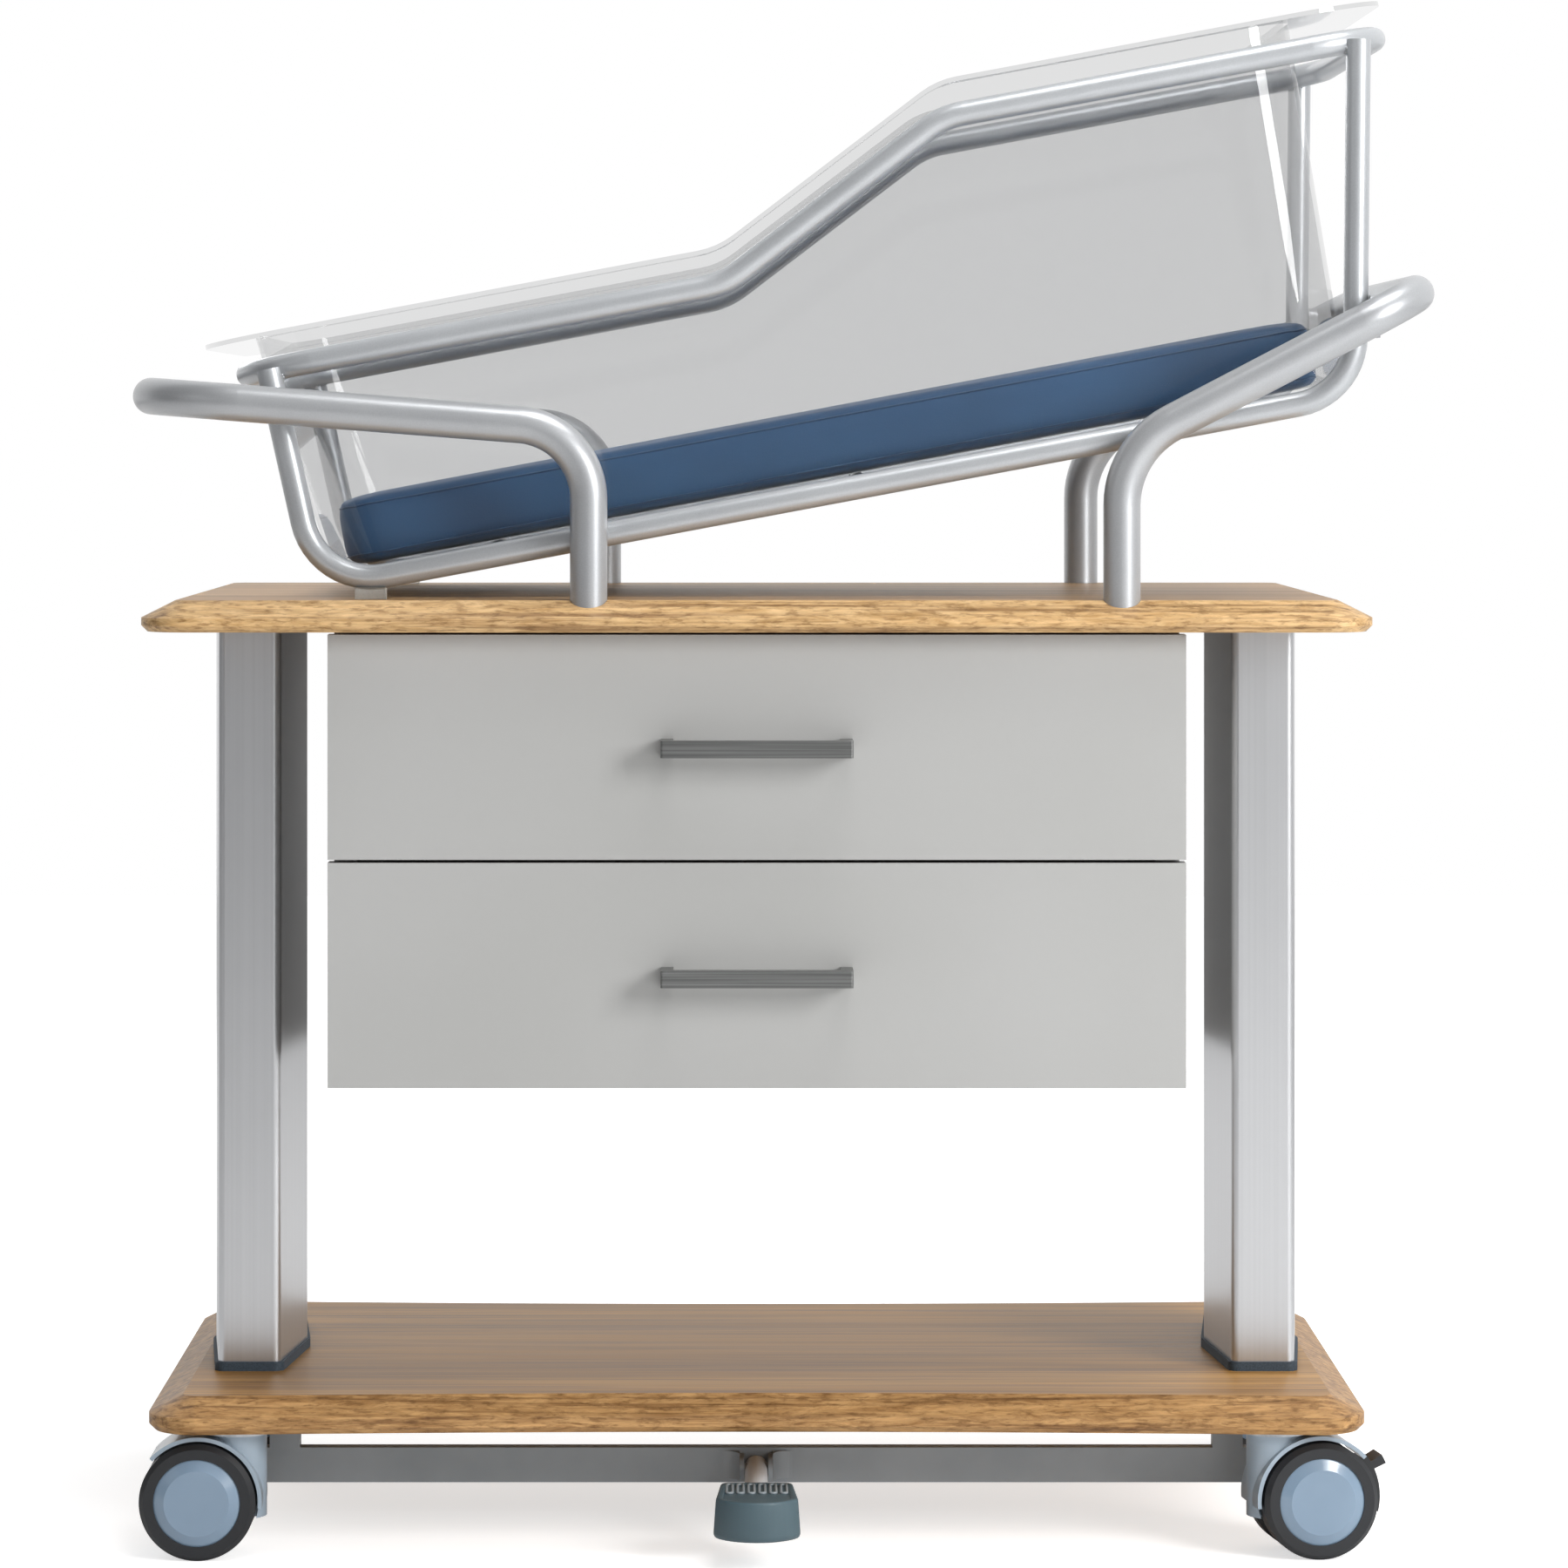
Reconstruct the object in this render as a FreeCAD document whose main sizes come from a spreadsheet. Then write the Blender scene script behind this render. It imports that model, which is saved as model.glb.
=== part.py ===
"""Hospital bassinet: a clear tub in a tilting tube cradle, on a two-column trolley with two drawers.

Frame: +X towards the head end, +Y towards the back, +Z up, millimetres. The origin is on the floor
below the middle of the overall box. The trolley's own middle stands mid_x, mid_y from it.
"""
import FreeCAD
import Part
import math
import os

Vector = FreeCAD.Vector
doc = FreeCAD.newDocument("bassinet")
sheet = doc.addObject("Spreadsheet::Sheet", "sheet")

SIZES = {
    # boards
    "table_length": 792, "table_depth": 480, "table_thick": 20, "table_top_z": 618,
    "shelf_length": 786, "shelf_depth": 440, "shelf_thick": 22, "shelf_top_z": 104,
    "board_corner": 32, "shelf_waist": 12, "bevel_width": 22, "bevel_drop": 11, "board_edge": 4,
    # columns
    "column_spread": 336, "column_depth": 200, "column_face": 41, "column_waist": 62,
    "column_wall": 3, "column_foot_thick": 6, "column_foot_lip": 2,
    # cabinet and drawers
    "cabinet_width": 545, "cabinet_depth": 400, "cabinet_height": 293, "panel_thick": 15,
    "front_thick": 18, "front_gap": 2, "front_overhang": 3, "runner_thick": 12, "runner_height": 36,
    "slide_thick": 5, "slide_height": 20, "box_wall": 12, "box_floor": 6, "box_head_gap": 5.5,
    "box_back_gap": 15, "box_lift": 12, "drawer_pull_width": 123, "drawer_pull_bar": 8,
    "drawer_pull_height": 11, "drawer_pull_reach": 27, "running_gap": 0.4,
    # push handles
    "handle_tube": 24, "handle_spread": 215, "socket_depth": 12, "socket_gap": 0.2,
    "foot_leg_x": 108, "foot_knee_z": 727.4, "foot_bar_x": 407, "foot_bar_z": 749.6,
    "head_leg_x": 234.5, "head_knee_z": 715.2, "head_bar_x": 440, "head_bar_z": 816,
    "foot_knee_bend": 48, "head_knee_bend": 60, "foot_corner": 62, "head_corner": 42,
    # cradle, in its own tilted frame, measured from the tilt axis
    "tilt_x": 249.5, "tilt_z": 677.4, "tilt_angle": 10.6, "cradle_tube": 16, "cradle_spread": 190,
    "foot_bend": 45, "head_bend": 45, "ring_foot": 65.5, "ring_head": 698, "ring_low": 100,
    "ring_high": 180, "step_start": 251, "step_end": 410, "ring_bend": 55, "ring_corner": 45,
    "foot_post_lean": 2, "head_post_lean": 11.2, "floor_run": 639, "cross_tube": 12,
    # tub and mattress
    "tub_wall": 3, "tub_rise": 24, "tub_foot": 36.5, "tub_head": 642, "tub_half_width": 164,
    "tub_foot_draft": 32, "tub_head_draft": 4, "tub_side_draft": 12, "tub_corner": 38,
    "rim_width": 20, "rim_foot_reach": 22, "rim_head_reach": 60.5, "mattress_thick": 45,
    "mattress_gap": 3, "mattress_head_gap": 11, "seat_gap": 0.3,
    # tilt guides and saddles
    "guide_plate": 3, "guide_drop": 8, "guide_rest": 2, "guide_height": 20, "guide_finger": 6,
    "guide_foot_end": 11, "guide_head_gap": 0.5, "guide_pin": 4, "guide_pin_gap": 2.6,
    "saddle_length": 20, "saddle_width": 12, "saddle_height": 8,
    # casters
    "caster_x": 335, "caster_y": 186, "wheel_radius": 37.5, "caster_trail": 25, "tyre_depth": 9.5,
    "wheel_width": 19.5, "tyre_shoulder": 3, "hub_dish": 2.5, "wheel_offset": 8, "axle_radius": 4, "bore_gap": 0.08, "hood_gap": 1.4,
    "hood_thick": 2.6, "hood_start": 42, "hood_end": 186, "boss_radius": 18, "plate_thick": 2.4,
    "plate_radius": 24, "stem_radius": 5.5, "stem_length": 22, "cheek_inner": 3.3, "cheek_outer": 7,
    "cheek_radius": 12, "front_heading": 9, "hood_inset": 5.5, "lever_width": 10, "lever_eye": 10,
    "lever_thick": 4, "lever_reach": 12.5, "lever_toe_low": 24, "lever_toe_high": 31,
    # pedal
    "bar_length": 650, "bar_height": 23, "bar_depth": 12, "bar_y": 99, "bar_bottom": 31,
    "hanger_width": 20, "hanger_x": 312, "pedal_pivot_y": 120, "pedal_pivot_z": 42.5, "pedal_pin": 4,
    "pedal_arm_width": 15, "pedal_arm_height": 17, "pedal_arm_drop": 9, "ear_thick": 3, "pad_width": 56, "pad_front": 262,
    "pad_back": 190, "pad_top": 47, "pad_bottom": 21, "pad_ribs": 6,
}
for row, (alias, size) in enumerate(SIZES.items(), start=1):
    sheet.set(f"A{row}", alias)
    sheet.set(f"B{row}", str(size))
    sheet.setAlias(f"B{row}", alias)
doc.recompute()


def v(alias):
    """The number in the sheet's cell of that name."""
    return float(sheet.get(alias))


handle_radius = v("handle_tube") / 2
cradle_radius = v("cradle_tube") / 2
LEVER_TIP = v("caster_trail") + (v("wheel_radius") + v("hood_gap") + v("lever_reach")) * math.cos(math.radians(v("lever_toe_low")))
MID_X = (max(v("caster_x") + LEVER_TIP, v("foot_bar_x")) - v("head_bar_x")) / 2
MID_Y = (v("pad_front") - v("table_depth") / 2) / 2
MIDDLE = Vector(MID_X, MID_Y, 0)
parts = []


def cell(*terms):
    """An expression on the sheet's cells: words are aliases, the rest is written as it is."""
    return " ".join("sheet." + t if t in SIZES else t for t in " ".join(terms).split())


def feature(label, shape, placement=None):
    """A sub-part whose shape is worked out here from the sheet's values."""
    node = doc.addObject("Part::Feature", label)
    node.Label = label
    node.Shape = shape
    node.Placement = placement or FreeCAD.Placement(MIDDLE, FreeCAD.Rotation())
    parts.append(node)
    return node


def body(label):
    """An empty body, standing at the trolley's middle."""
    node = doc.addObject("PartDesign::Body", label)
    node.Label = label
    node.Placement = FreeCAD.Placement(MIDDLE, FreeCAD.Rotation())
    parts.append(node)
    return node


def block(owner, name, kind, size, corner):
    """A PartDesign box, kind Additive or Subtractive, with each size and place bound to the sheet."""
    box = owner.newObject(f"PartDesign::{kind}Box", name)
    for prop, text in zip(("Length", "Width", "Height"), size):
        box.setExpression(prop, cell(text))
    for axis, text in zip("xyz", corner):
        box.setExpression(f"AttachmentOffset.Base.{axis}", cell(text))
        box.setExpression(f"Placement.Base.{axis}", cell(text))
    doc.recompute()
    return box


def plane(owner, role):
    """One of a body's own origin planes."""
    return next(f for f in owner.Origin.OriginFeatures if f.Role == role)


def flat_sketch(owner, name, edges, role, offset_text):
    """A sketch of the given edges on an origin plane, moved along its normal by an expression."""
    sketch = owner.newObject("Sketcher::SketchObject", name)
    sketch.AttachmentSupport = [(plane(owner, role), "")]
    sketch.MapMode = "FlatFace"
    sketch.setExpression("AttachmentOffset.Base.z", cell(offset_text))
    for edge in edges:
        sketch.addGeometry(edge, False)
    doc.recompute()
    return sketch


def pad(owner, sketch, text):
    """Pads a sketch along its normal."""
    made = owner.newObject("PartDesign::Pad", sketch.Name + "_pad")
    made.Profile = sketch
    made.setExpression("Length", cell(text))
    doc.recompute()
    return made


def arc_at(start, middle, end):
    """A circular edge through three points."""
    return Part.Arc(start, middle, end)


def filleted(points, radii, closed):
    """Lines and tangent arcs along a polyline, one radius for each corner (0 leaves it sharp)."""
    count = len(points)
    corners = range(count) if closed else range(1, count - 1)
    cut = {}
    for i in corners:
        back = (points[i - 1] - points[i]).normalize()
        ahead = (points[(i + 1) % count] - points[i]).normalize()
        half = back.getAngle(ahead) / 2
        if radii[i] > 0:
            reach = radii[i] / math.tan(half)
            inward = (back + ahead).normalize()
            middle = points[i] + inward * (radii[i] / math.sin(half) - radii[i])
            cut[i] = (points[i] + back * reach, middle, points[i] + ahead * reach)
        else:
            cut[i] = (points[i], None, points[i])
    edges = []
    for i in range(count if closed else count - 1):
        j = (i + 1) % count
        start = cut[i][2] if i in cut else points[i]
        end = cut[j][0] if j in cut else points[j]
        if (end - start).Length > 1e-6:
            edges.append(Part.LineSegment(start, end))
        if j in cut and cut[j][1] is not None:
            edges.append(arc_at(*cut[j]))
    return edges


def wire(points, radii, closed=False):
    """The wire of filleted()."""
    return Part.Wire([e.toShape() for e in filleted(points, radii, closed)])


def swept(path, radius):
    """A round rod along a path of lines and tangent arcs."""
    first = path.OrderedEdges[0]
    start = first.valueAt(first.FirstParameter)
    along = first.tangentAt(first.FirstParameter)
    ring = Part.Wire([Part.makeCircle(radius, start, along)])
    return path.makePipeShell([ring], True, False)


def prism(points, radii, height, direction):
    """A closed outline with rounded corners, extruded."""
    face = Part.Face(wire(points, radii, closed=True))
    return face.extrude(direction.normalize() * height)


def mirrored(shape):
    """The same shape on the other side of the trolley's long middle plane."""
    return shape.mirror(Vector(0, 0, 0), Vector(0, 1, 0))


# Boards: solid timber, corners rounded, the upper edge cut back in a broad bevel, the lower one broken.
def board(label, length, depth, thick, top, waist):
    half_x = v(length) / 2
    half_y = v(depth) / 2
    radius = v("board_corner")
    run = half_x - radius
    rise = half_y - radius
    lean = radius * math.sqrt(0.5)
    edges = []
    for sign in (-1, 1):
        ends = [Vector(sign * -run, sign * half_y, 0), Vector(sign * run, sign * half_y, 0)]
        if waist:
            edges.append(arc_at(ends[0], Vector(0, sign * (half_y - waist), 0), ends[1]))
        else:
            edges.append(Part.LineSegment(*ends))
        corner = [Vector(sign * (run + lean), sign * (rise + lean), 0), Vector(sign * half_x, sign * rise, 0)]
        edges.append(arc_at(ends[1], *corner))
        edges.append(Part.LineSegment(corner[1], Vector(sign * half_x, sign * -rise, 0)))
        under = Vector(sign * (run + lean), sign * -(rise + lean), 0)
        edges.append(arc_at(Vector(sign * half_x, sign * -rise, 0), under, Vector(sign * run, sign * -half_y, 0)))
    owner = body(label)
    sketch = flat_sketch(owner, label + "_outline", edges, "XY_Plane", f"{top} - {thick}")
    slab = pad(owner, sketch, thick)
    rim = [f"Edge{i}" for i, e in enumerate(slab.Shape.Edges, start=1)
           if abs(e.BoundBox.ZMin - v(top)) < 1e-6 and abs(e.BoundBox.ZMax - v(top)) < 1e-6]
    bevel = owner.newObject("PartDesign::Chamfer", label + "_bevel")
    bevel.Base = (slab, rim)
    bevel.ChamferType = 1
    bevel.setExpression("Size", cell("bevel_drop"))
    bevel.setExpression("Size2", cell("bevel_width"))
    doc.recompute()
    low = [f"Edge{i}" for i, e in enumerate(bevel.Shape.Edges, start=1)
           if abs(e.BoundBox.ZMax - v(top) + v(thick)) < 1e-6]
    under_edge = owner.newObject("PartDesign::Chamfer", label + "_under_edge")
    under_edge.Base = (bevel, low)
    under_edge.setExpression("Size", cell("board_edge"))
    doc.recompute()
    return owner


table = board("table_top", "table_length", "table_depth", "table_thick", "table_top_z", 0)
board("lower_shelf", "shelf_length", "shelf_depth", "shelf_thick", "shelf_top_z", v("shelf_waist"))

# The table has four blind sockets for the legs of the push handles.
for name, leg_x in (("foot", -v("foot_leg_x")), ("head", v("head_leg_x"))):
    for side in (-1, 1):
        socket = table.newObject("PartDesign::SubtractiveCylinder", f"socket_{name}_{side + 2}")
        socket.setExpression("Radius", cell("handle_tube / 2 + socket_gap"))
        socket.setExpression("Height", cell("socket_depth"))
        socket.Placement.Base = Vector(leg_x, side * v("handle_spread"), v("table_top_z") - v("socket_depth"))
        doc.recompute()


# Columns: a hollow aluminium section, broad in the middle and narrow at its two faces.
def column_outline(grow):
    half_face = v("column_face") / 2 + grow
    half_waist = v("column_waist") / 2 + grow
    half_depth = v("column_depth") / 2 + grow
    points = [Vector(-half_face, -half_depth, 0), Vector(half_face, -half_depth, 0), Vector(half_waist, 0, 0),
              Vector(half_face, half_depth, 0), Vector(-half_face, half_depth, 0), Vector(-half_waist, 0, 0)]
    rounds = [5 + grow, 5 + grow, 30, 5 + grow, 5 + grow, 30]
    return points, rounds


for name, sign in (("foot", -1), ("head", 1)):
    at = Vector(sign * v("column_spread"), 0, 0)
    for kind, grow in (("column", 0), ("column_base", v("column_foot_lip"))):
        outline, rounds = column_outline(grow)
        edges = filleted([p + at for p in outline], rounds, True)
        owner = body(f"{kind}_{name}")
        if kind == "column":
            hollow, hollow_rounds = column_outline(-v("column_wall"))
            edges += filleted([p + at for p in hollow], [max(r - v("column_wall"), 1) for r in hollow_rounds], True)
            sketch = flat_sketch(owner, f"column_{name}_section", edges, "XY_Plane", "shelf_top_z + column_foot_thick")
            pad(owner, sketch, "table_top_z - table_thick - shelf_top_z - column_foot_thick")
        else:
            sketch = flat_sketch(owner, f"column_base_{name}_section", edges, "XY_Plane", "shelf_top_z")
            pad(owner, sketch, "column_foot_thick")

# Cabinet: two sides, a back and a floor hung under the table, with the drawers between them.
CABINET_FLOOR = "table_top_z - table_thick - cabinet_height"
for name, corner in (("foot", "0 - cabinet_width / 2"), ("head", "cabinet_width / 2 - panel_thick")):
    owner = body(f"cabinet_side_{name}")
    block(owner, f"side_{name}_panel", "Additive", ("panel_thick", "cabinet_depth", "cabinet_height"),
          (corner, "0 - cabinet_depth / 2", CABINET_FLOOR))
owner = body("cabinet_floor")
block(owner, "floor_panel", "Additive", ("cabinet_width - 2 * panel_thick", "cabinet_depth", "panel_thick"),
      ("panel_thick - cabinet_width / 2", "0 - cabinet_depth / 2", CABINET_FLOOR))
owner = body("cabinet_back")
block(owner, "back_panel", "Additive",
      ("cabinet_width - 2 * panel_thick", "panel_thick", "cabinet_height - panel_thick"),
      ("panel_thick - cabinet_width / 2", "cabinet_depth / 2 - panel_thick", f"{CABINET_FLOOR} + panel_thick"))

# Drawers: a front, a box with its inner slides, and a bar pull; the outer runners stay in the cabinet.
FRONT_HEIGHT = "( cabinet_height - front_gap * 2 ) / 2"
BOX_LENGTH = "cabinet_depth - panel_thick - box_back_gap"
BOX_HEIGHT = f"{FRONT_HEIGHT} - box_lift - panel_thick - box_head_gap"
box_length = v("cabinet_depth") - v("panel_thick") - v("box_back_gap")
box_height = (v("cabinet_height") - 2 * v("front_gap")) / 2 - v("box_lift") - v("panel_thick") - v("box_head_gap")
for name, level in (("upper", f"table_top_z - table_thick - front_gap - {FRONT_HEIGHT}"), ("lower", CABINET_FLOOR)):
    owner = body(f"drawer_front_{name}")
    block(owner, f"front_{name}", "Additive",
          ("cabinet_width + front_overhang * 2", "front_thick", FRONT_HEIGHT),
          ("0 - cabinet_width / 2 - front_overhang", "0 - cabinet_depth / 2 - front_thick - seat_gap", level))
    runners = []
    slides = []
    for sign in (-1, 1):
        outer_x = v("cabinet_width") / 2 - v("panel_thick")
        runner = Part.makeBox(v("runner_thick"), v("cabinet_depth") - v("panel_thick"), v("runner_height"))
        groove = Part.makeBox(v("slide_thick") + v("running_gap"), v("cabinet_depth"),
                              v("slide_height") + 2 * v("running_gap"))
        slide = Part.makeBox(v("slide_thick") + v("running_gap"), box_length, v("slide_height"))
        middle_z = doc.getObject(f"front_{name}").Placement.Base.z + v("box_lift") + v("panel_thick") + box_height / 2
        start_y = -v("cabinet_depth") / 2
        runner_x = outer_x - v("runner_thick")
        runner.translate(Vector(runner_x, start_y, middle_z - v("runner_height") / 2))
        groove.translate(Vector(runner_x, start_y - 1, middle_z - v("slide_height") / 2 - v("running_gap")))
        slide.translate(Vector(runner_x - v("running_gap"), start_y, middle_z - v("slide_height") / 2))
        pair = [runner.cut(groove), slide]
        if sign < 0:
            pair = [s.mirror(Vector(0, 0, 0), Vector(1, 0, 0)) for s in pair]
        runners.append(pair[0])
        slides.append(pair[1])
    feature(f"runners_{name}", Part.makeCompound(runners))
    feature(f"drawer_slides_{name}", Part.makeCompound(slides))
    owner = body(f"drawer_box_{name}")
    box_width = "cabinet_width - 2 * panel_thick - 2 * runner_thick - 2 * running_gap"
    block(owner, f"box_{name}", "Additive", (box_width, BOX_LENGTH, BOX_HEIGHT),
          (f"0 - ( {box_width} ) / 2", "0 - cabinet_depth / 2 - seat_gap", f"{level} + box_lift + panel_thick"))
    block(owner, f"room_{name}", "Subtractive",
          (f"{box_width} - 2 * box_wall", f"{BOX_LENGTH} - 2 * box_wall", BOX_HEIGHT),
          (f"0 - ( {box_width} ) / 2 + box_wall", "0 - cabinet_depth / 2 - seat_gap + box_wall",
           f"{level} + box_lift + panel_thick + box_floor"))
    half = v("drawer_pull_width") / 2
    reach = v("drawer_pull_reach")
    bar = v("drawer_pull_bar")
    face_y = -v("cabinet_depth") / 2 - v("front_thick") - v("seat_gap")
    outline = [Vector(-half, 0, 0), Vector(-half, -reach, 0), Vector(half, -reach, 0), Vector(half, 0, 0),
               Vector(half - bar, 0, 0), Vector(half - bar, bar - reach, 0), Vector(bar - half, bar - reach, 0),
               Vector(bar - half, 0, 0)]
    edges = filleted([p + Vector(0, face_y, 0) for p in outline], [0, 1.5, 1.5, 0, 0, 3, 3, 0], True)
    owner = body(f"drawer_pull_{name}")
    sketch = flat_sketch(owner, f"pull_{name}_outline", edges, "XY_Plane",
                         f"{level} + ( {FRONT_HEIGHT} ) / 2 - drawer_pull_height / 2")
    pad(owner, sketch, "drawer_pull_height")

# Push handles: one bent tube at each end, its two legs seated in the table's sockets.
seat_z = v("table_top_z") - v("socket_depth")
for name, sign, knee_bend in (("foot", -1, "foot_knee_bend"), ("head", 1, "head_knee_bend")):
    leg_x = sign * v(f"{name}_leg_x")
    bar_x = sign * (v(f"{name}_bar_x") - handle_radius)
    side = v("handle_spread")
    points = [Vector(leg_x, -side, seat_z), Vector(leg_x, -side, v(f"{name}_knee_z")),
              Vector(bar_x, -side, v(f"{name}_bar_z")), Vector(bar_x, side, v(f"{name}_bar_z")),
              Vector(leg_x, side, v(f"{name}_knee_z")), Vector(leg_x, side, seat_z)]
    radii = [0, v(knee_bend), v(f"{name}_corner"), v(f"{name}_corner"), v(knee_bend), 0]
    path = wire(points, radii)
    feature(f"push_handle_{name}", swept(path, handle_radius))

# Cradle: a stepped ring and two side loops of tube, joined below by cross tubes. It tilts about the
# centre of the loops' foot bend. Its shapes are in the cradle's own frame, u along the floor run.
cradle_place = FreeCAD.Placement(
    Vector(-v("tilt_x"), 0, v("tilt_z")) + MIDDLE, FreeCAD.Rotation(Vector(0, 1, 0), -v("tilt_angle")))
spread = v("cradle_spread")
ring_profile = [(-v("ring_foot"), v("ring_low")), (v("step_start"), v("ring_low")),
                (v("step_end"), v("ring_high")), (v("ring_head"), v("ring_high"))]
ring_points = [Vector(u, -spread, w) for u, w in ring_profile] + [Vector(u, spread, w) for u, w in ring_profile[::-1]]
corner = v("ring_corner")
bend = v("ring_bend")
ring_radii = [corner, bend, bend, corner] * 2
seam = (ring_points[0] + ring_points[7]) * 0.5
ring = swept(wire([seam] + ring_points + [seam], [0] + ring_radii + [0]), cradle_radius)
feature("cradle_ring", ring, cradle_place)

floor_w = -v("foot_bend")
head_run = v("floor_run")
foot_lean = math.tan(math.radians(v("foot_post_lean")))
head_lean = math.tan(math.radians(v("head_post_lean")))
foot_u = -v("foot_bend") / math.cos(math.radians(v("foot_post_lean")))
loop_points = [(foot_u - v("ring_low") * foot_lean, v("ring_low")), (foot_u - floor_w * foot_lean, floor_w),
               (head_run, floor_w), (head_run + (v("ring_high") - floor_w) * head_lean, v("ring_high"))]
loops = []
for name, side in (("front", -spread), ("back", spread)):
    path = wire([Vector(u, side, w) for u, w in loop_points], [0, v("foot_bend"), v("head_bend"), 0])
    loop = swept(path, cradle_radius).cut(ring)
    kept = max(loop.Solids, key=lambda s: s.Volume)
    feature(f"side_loop_{name}", kept, cradle_place)
    loops.append(kept)
crossings = []
for share in (0.1, 0.5, 0.9):
    bar = Part.makeCylinder(v("cross_tube") / 2, 2 * spread, Vector(share * head_run, -spread, floor_w), Vector(0, 1, 0))
    crossings.append(bar.cut(loops[0]).cut(loops[1]).Solids[0])
feature("cradle_cross_tubes", Part.makeCompound(crossings), cradle_place)

# Tub: a thin clear moulding that stands on the cross tubes; its stepped rim is turned outwards.
tub_floor = floor_w + v("cross_tube") / 2 + v("seat_gap")
rim_low = v("ring_low") + v("tub_rise")
rim_high = v("ring_high") + v("tub_rise")
tub_top = rim_high + v("rim_width") / 2
beyond = 3 * v("rim_width")


def tub_section(level, inset):
    """The tub's rounded outline at a level, taken in by inset."""
    share = (level - tub_floor) / (rim_high - tub_floor)
    foot = -v("tub_foot") - v("tub_foot_draft") * share + inset
    head = v("tub_head") + v("tub_head_draft") * share - inset
    half = v("tub_half_width") + v("tub_side_draft") * share - inset
    round_ = v("tub_corner") - inset
    points = [Vector(foot, -half, level), Vector(head, -half, level), Vector(head, half, level), Vector(foot, half, level)]
    return wire(points, [round_] * 4, closed=True)


def rim_line(drop):
    """The rim's stepped line, lowered by drop."""
    low = rim_low - drop
    high = rim_high - drop
    return [(-v("ring_foot") - beyond, low), (v("step_start"), low), (v("step_end"), high), (v("ring_head") + beyond, high)]


def across(points, radii):
    """An outline in the u-w plane, extruded right across the cradle."""
    half = spread + beyond
    return prism([Vector(u, -half, w) for u, w in points], radii, 2 * half, Vector(0, 1, 0))


wall = v("tub_wall")
outer = Part.makeLoft([tub_section(tub_floor, 0), tub_section(tub_top, 0)], True, True)
inner = Part.makeLoft([tub_section(tub_floor + wall, wall), tub_section(tub_top + 1, wall)], True, True)
above = across(rim_line(0) + [(v("ring_head") + beyond, rim_high + beyond), (-v("ring_foot") - beyond, rim_high + beyond)],
               [0, bend, bend, 0, 0, 0])
strip = across(rim_line(0) + rim_line(wall)[::-1], [0, bend, bend, 0, 0, bend, bend, 0])
rim_half = v("tub_half_width") + v("tub_side_draft") + v("rim_width")
rim_points = [Vector(-v("tub_foot") - v("rim_foot_reach") - v("tub_foot_draft"), -rim_half, tub_floor),
              Vector(v("tub_head") + v("tub_head_draft") + v("rim_head_reach"), -rim_half, tub_floor)]
rim_points += [Vector(p.x, rim_half, p.z) for p in rim_points[::-1]]
rim_plan = prism(rim_points, [v("tub_corner") + v("rim_width")] * 4, rim_high + beyond - tub_floor, Vector(0, 0, 1))
tub = outer.cut(above).fuse(strip.common(rim_plan)).cut(inner).removeSplitter()
feature("tub", tub, cradle_place)

mattress_floor = tub_floor + wall + v("seat_gap")
foot = -v("tub_foot") + wall + v("mattress_gap")
head = v("tub_head") - wall - v("mattress_head_gap")
half = v("tub_half_width") - wall - v("mattress_gap")
plan = [Vector(foot, -half, mattress_floor), Vector(head, -half, mattress_floor),
        Vector(head, half, mattress_floor), Vector(foot, half, mattress_floor)]
pad_round = v("tub_corner") - wall - v("mattress_gap")
mattress = prism(plan, [pad_round] * 4, v("mattress_thick"), Vector(0, 0, 1))
feature("mattress", mattress, cradle_place)

# Saddles: rubber blocks on the table under the loops' foot bends, hollowed to the tube.
bend_bottom = v("foot_bend") + cradle_radius
saddles = []
for side in (-spread, spread):
    saddle = Part.makeBox(v("saddle_length"), v("saddle_width"), v("saddle_height"))
    saddle.translate(Vector(-v("tilt_x") - v("saddle_length") / 2, side - v("saddle_width") / 2, v("table_top_z")))
    track = Part.makeTorus(v("foot_bend"), cradle_radius + v("seat_gap"), Vector(-v("tilt_x"), side, v("tilt_z")), Vector(0, 1, 0))
    along = cradle_place.Rotation.multVec(Vector(1, 0, 0))
    under = Vector(-v("tilt_x"), side, v("tilt_z")) + cradle_place.Rotation.multVec(Vector(0, 0, -v("foot_bend")))
    straight = Part.makeCylinder(cradle_radius + v("seat_gap"), 2 * v("saddle_length"), under, along)
    saddles.append(saddle.cut(track).cut(straight).Solids[0])
feature("saddles", Part.makeCompound(saddles))

# Tilt guides: a plate welded inside each arm of the head handle carries the pin on the loop's head
# post, and a finger on the plate stands just outside the post and keeps it from shifting outwards.
def in_trolley(u, w):
    """A point of the cradle's frame, at rest, in the trolley's."""
    turned_ = cradle_place.Rotation.multVec(Vector(u, 0, w))
    return Vector(turned_.x - v("tilt_x"), 0, turned_.z + v("tilt_z"))


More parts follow.
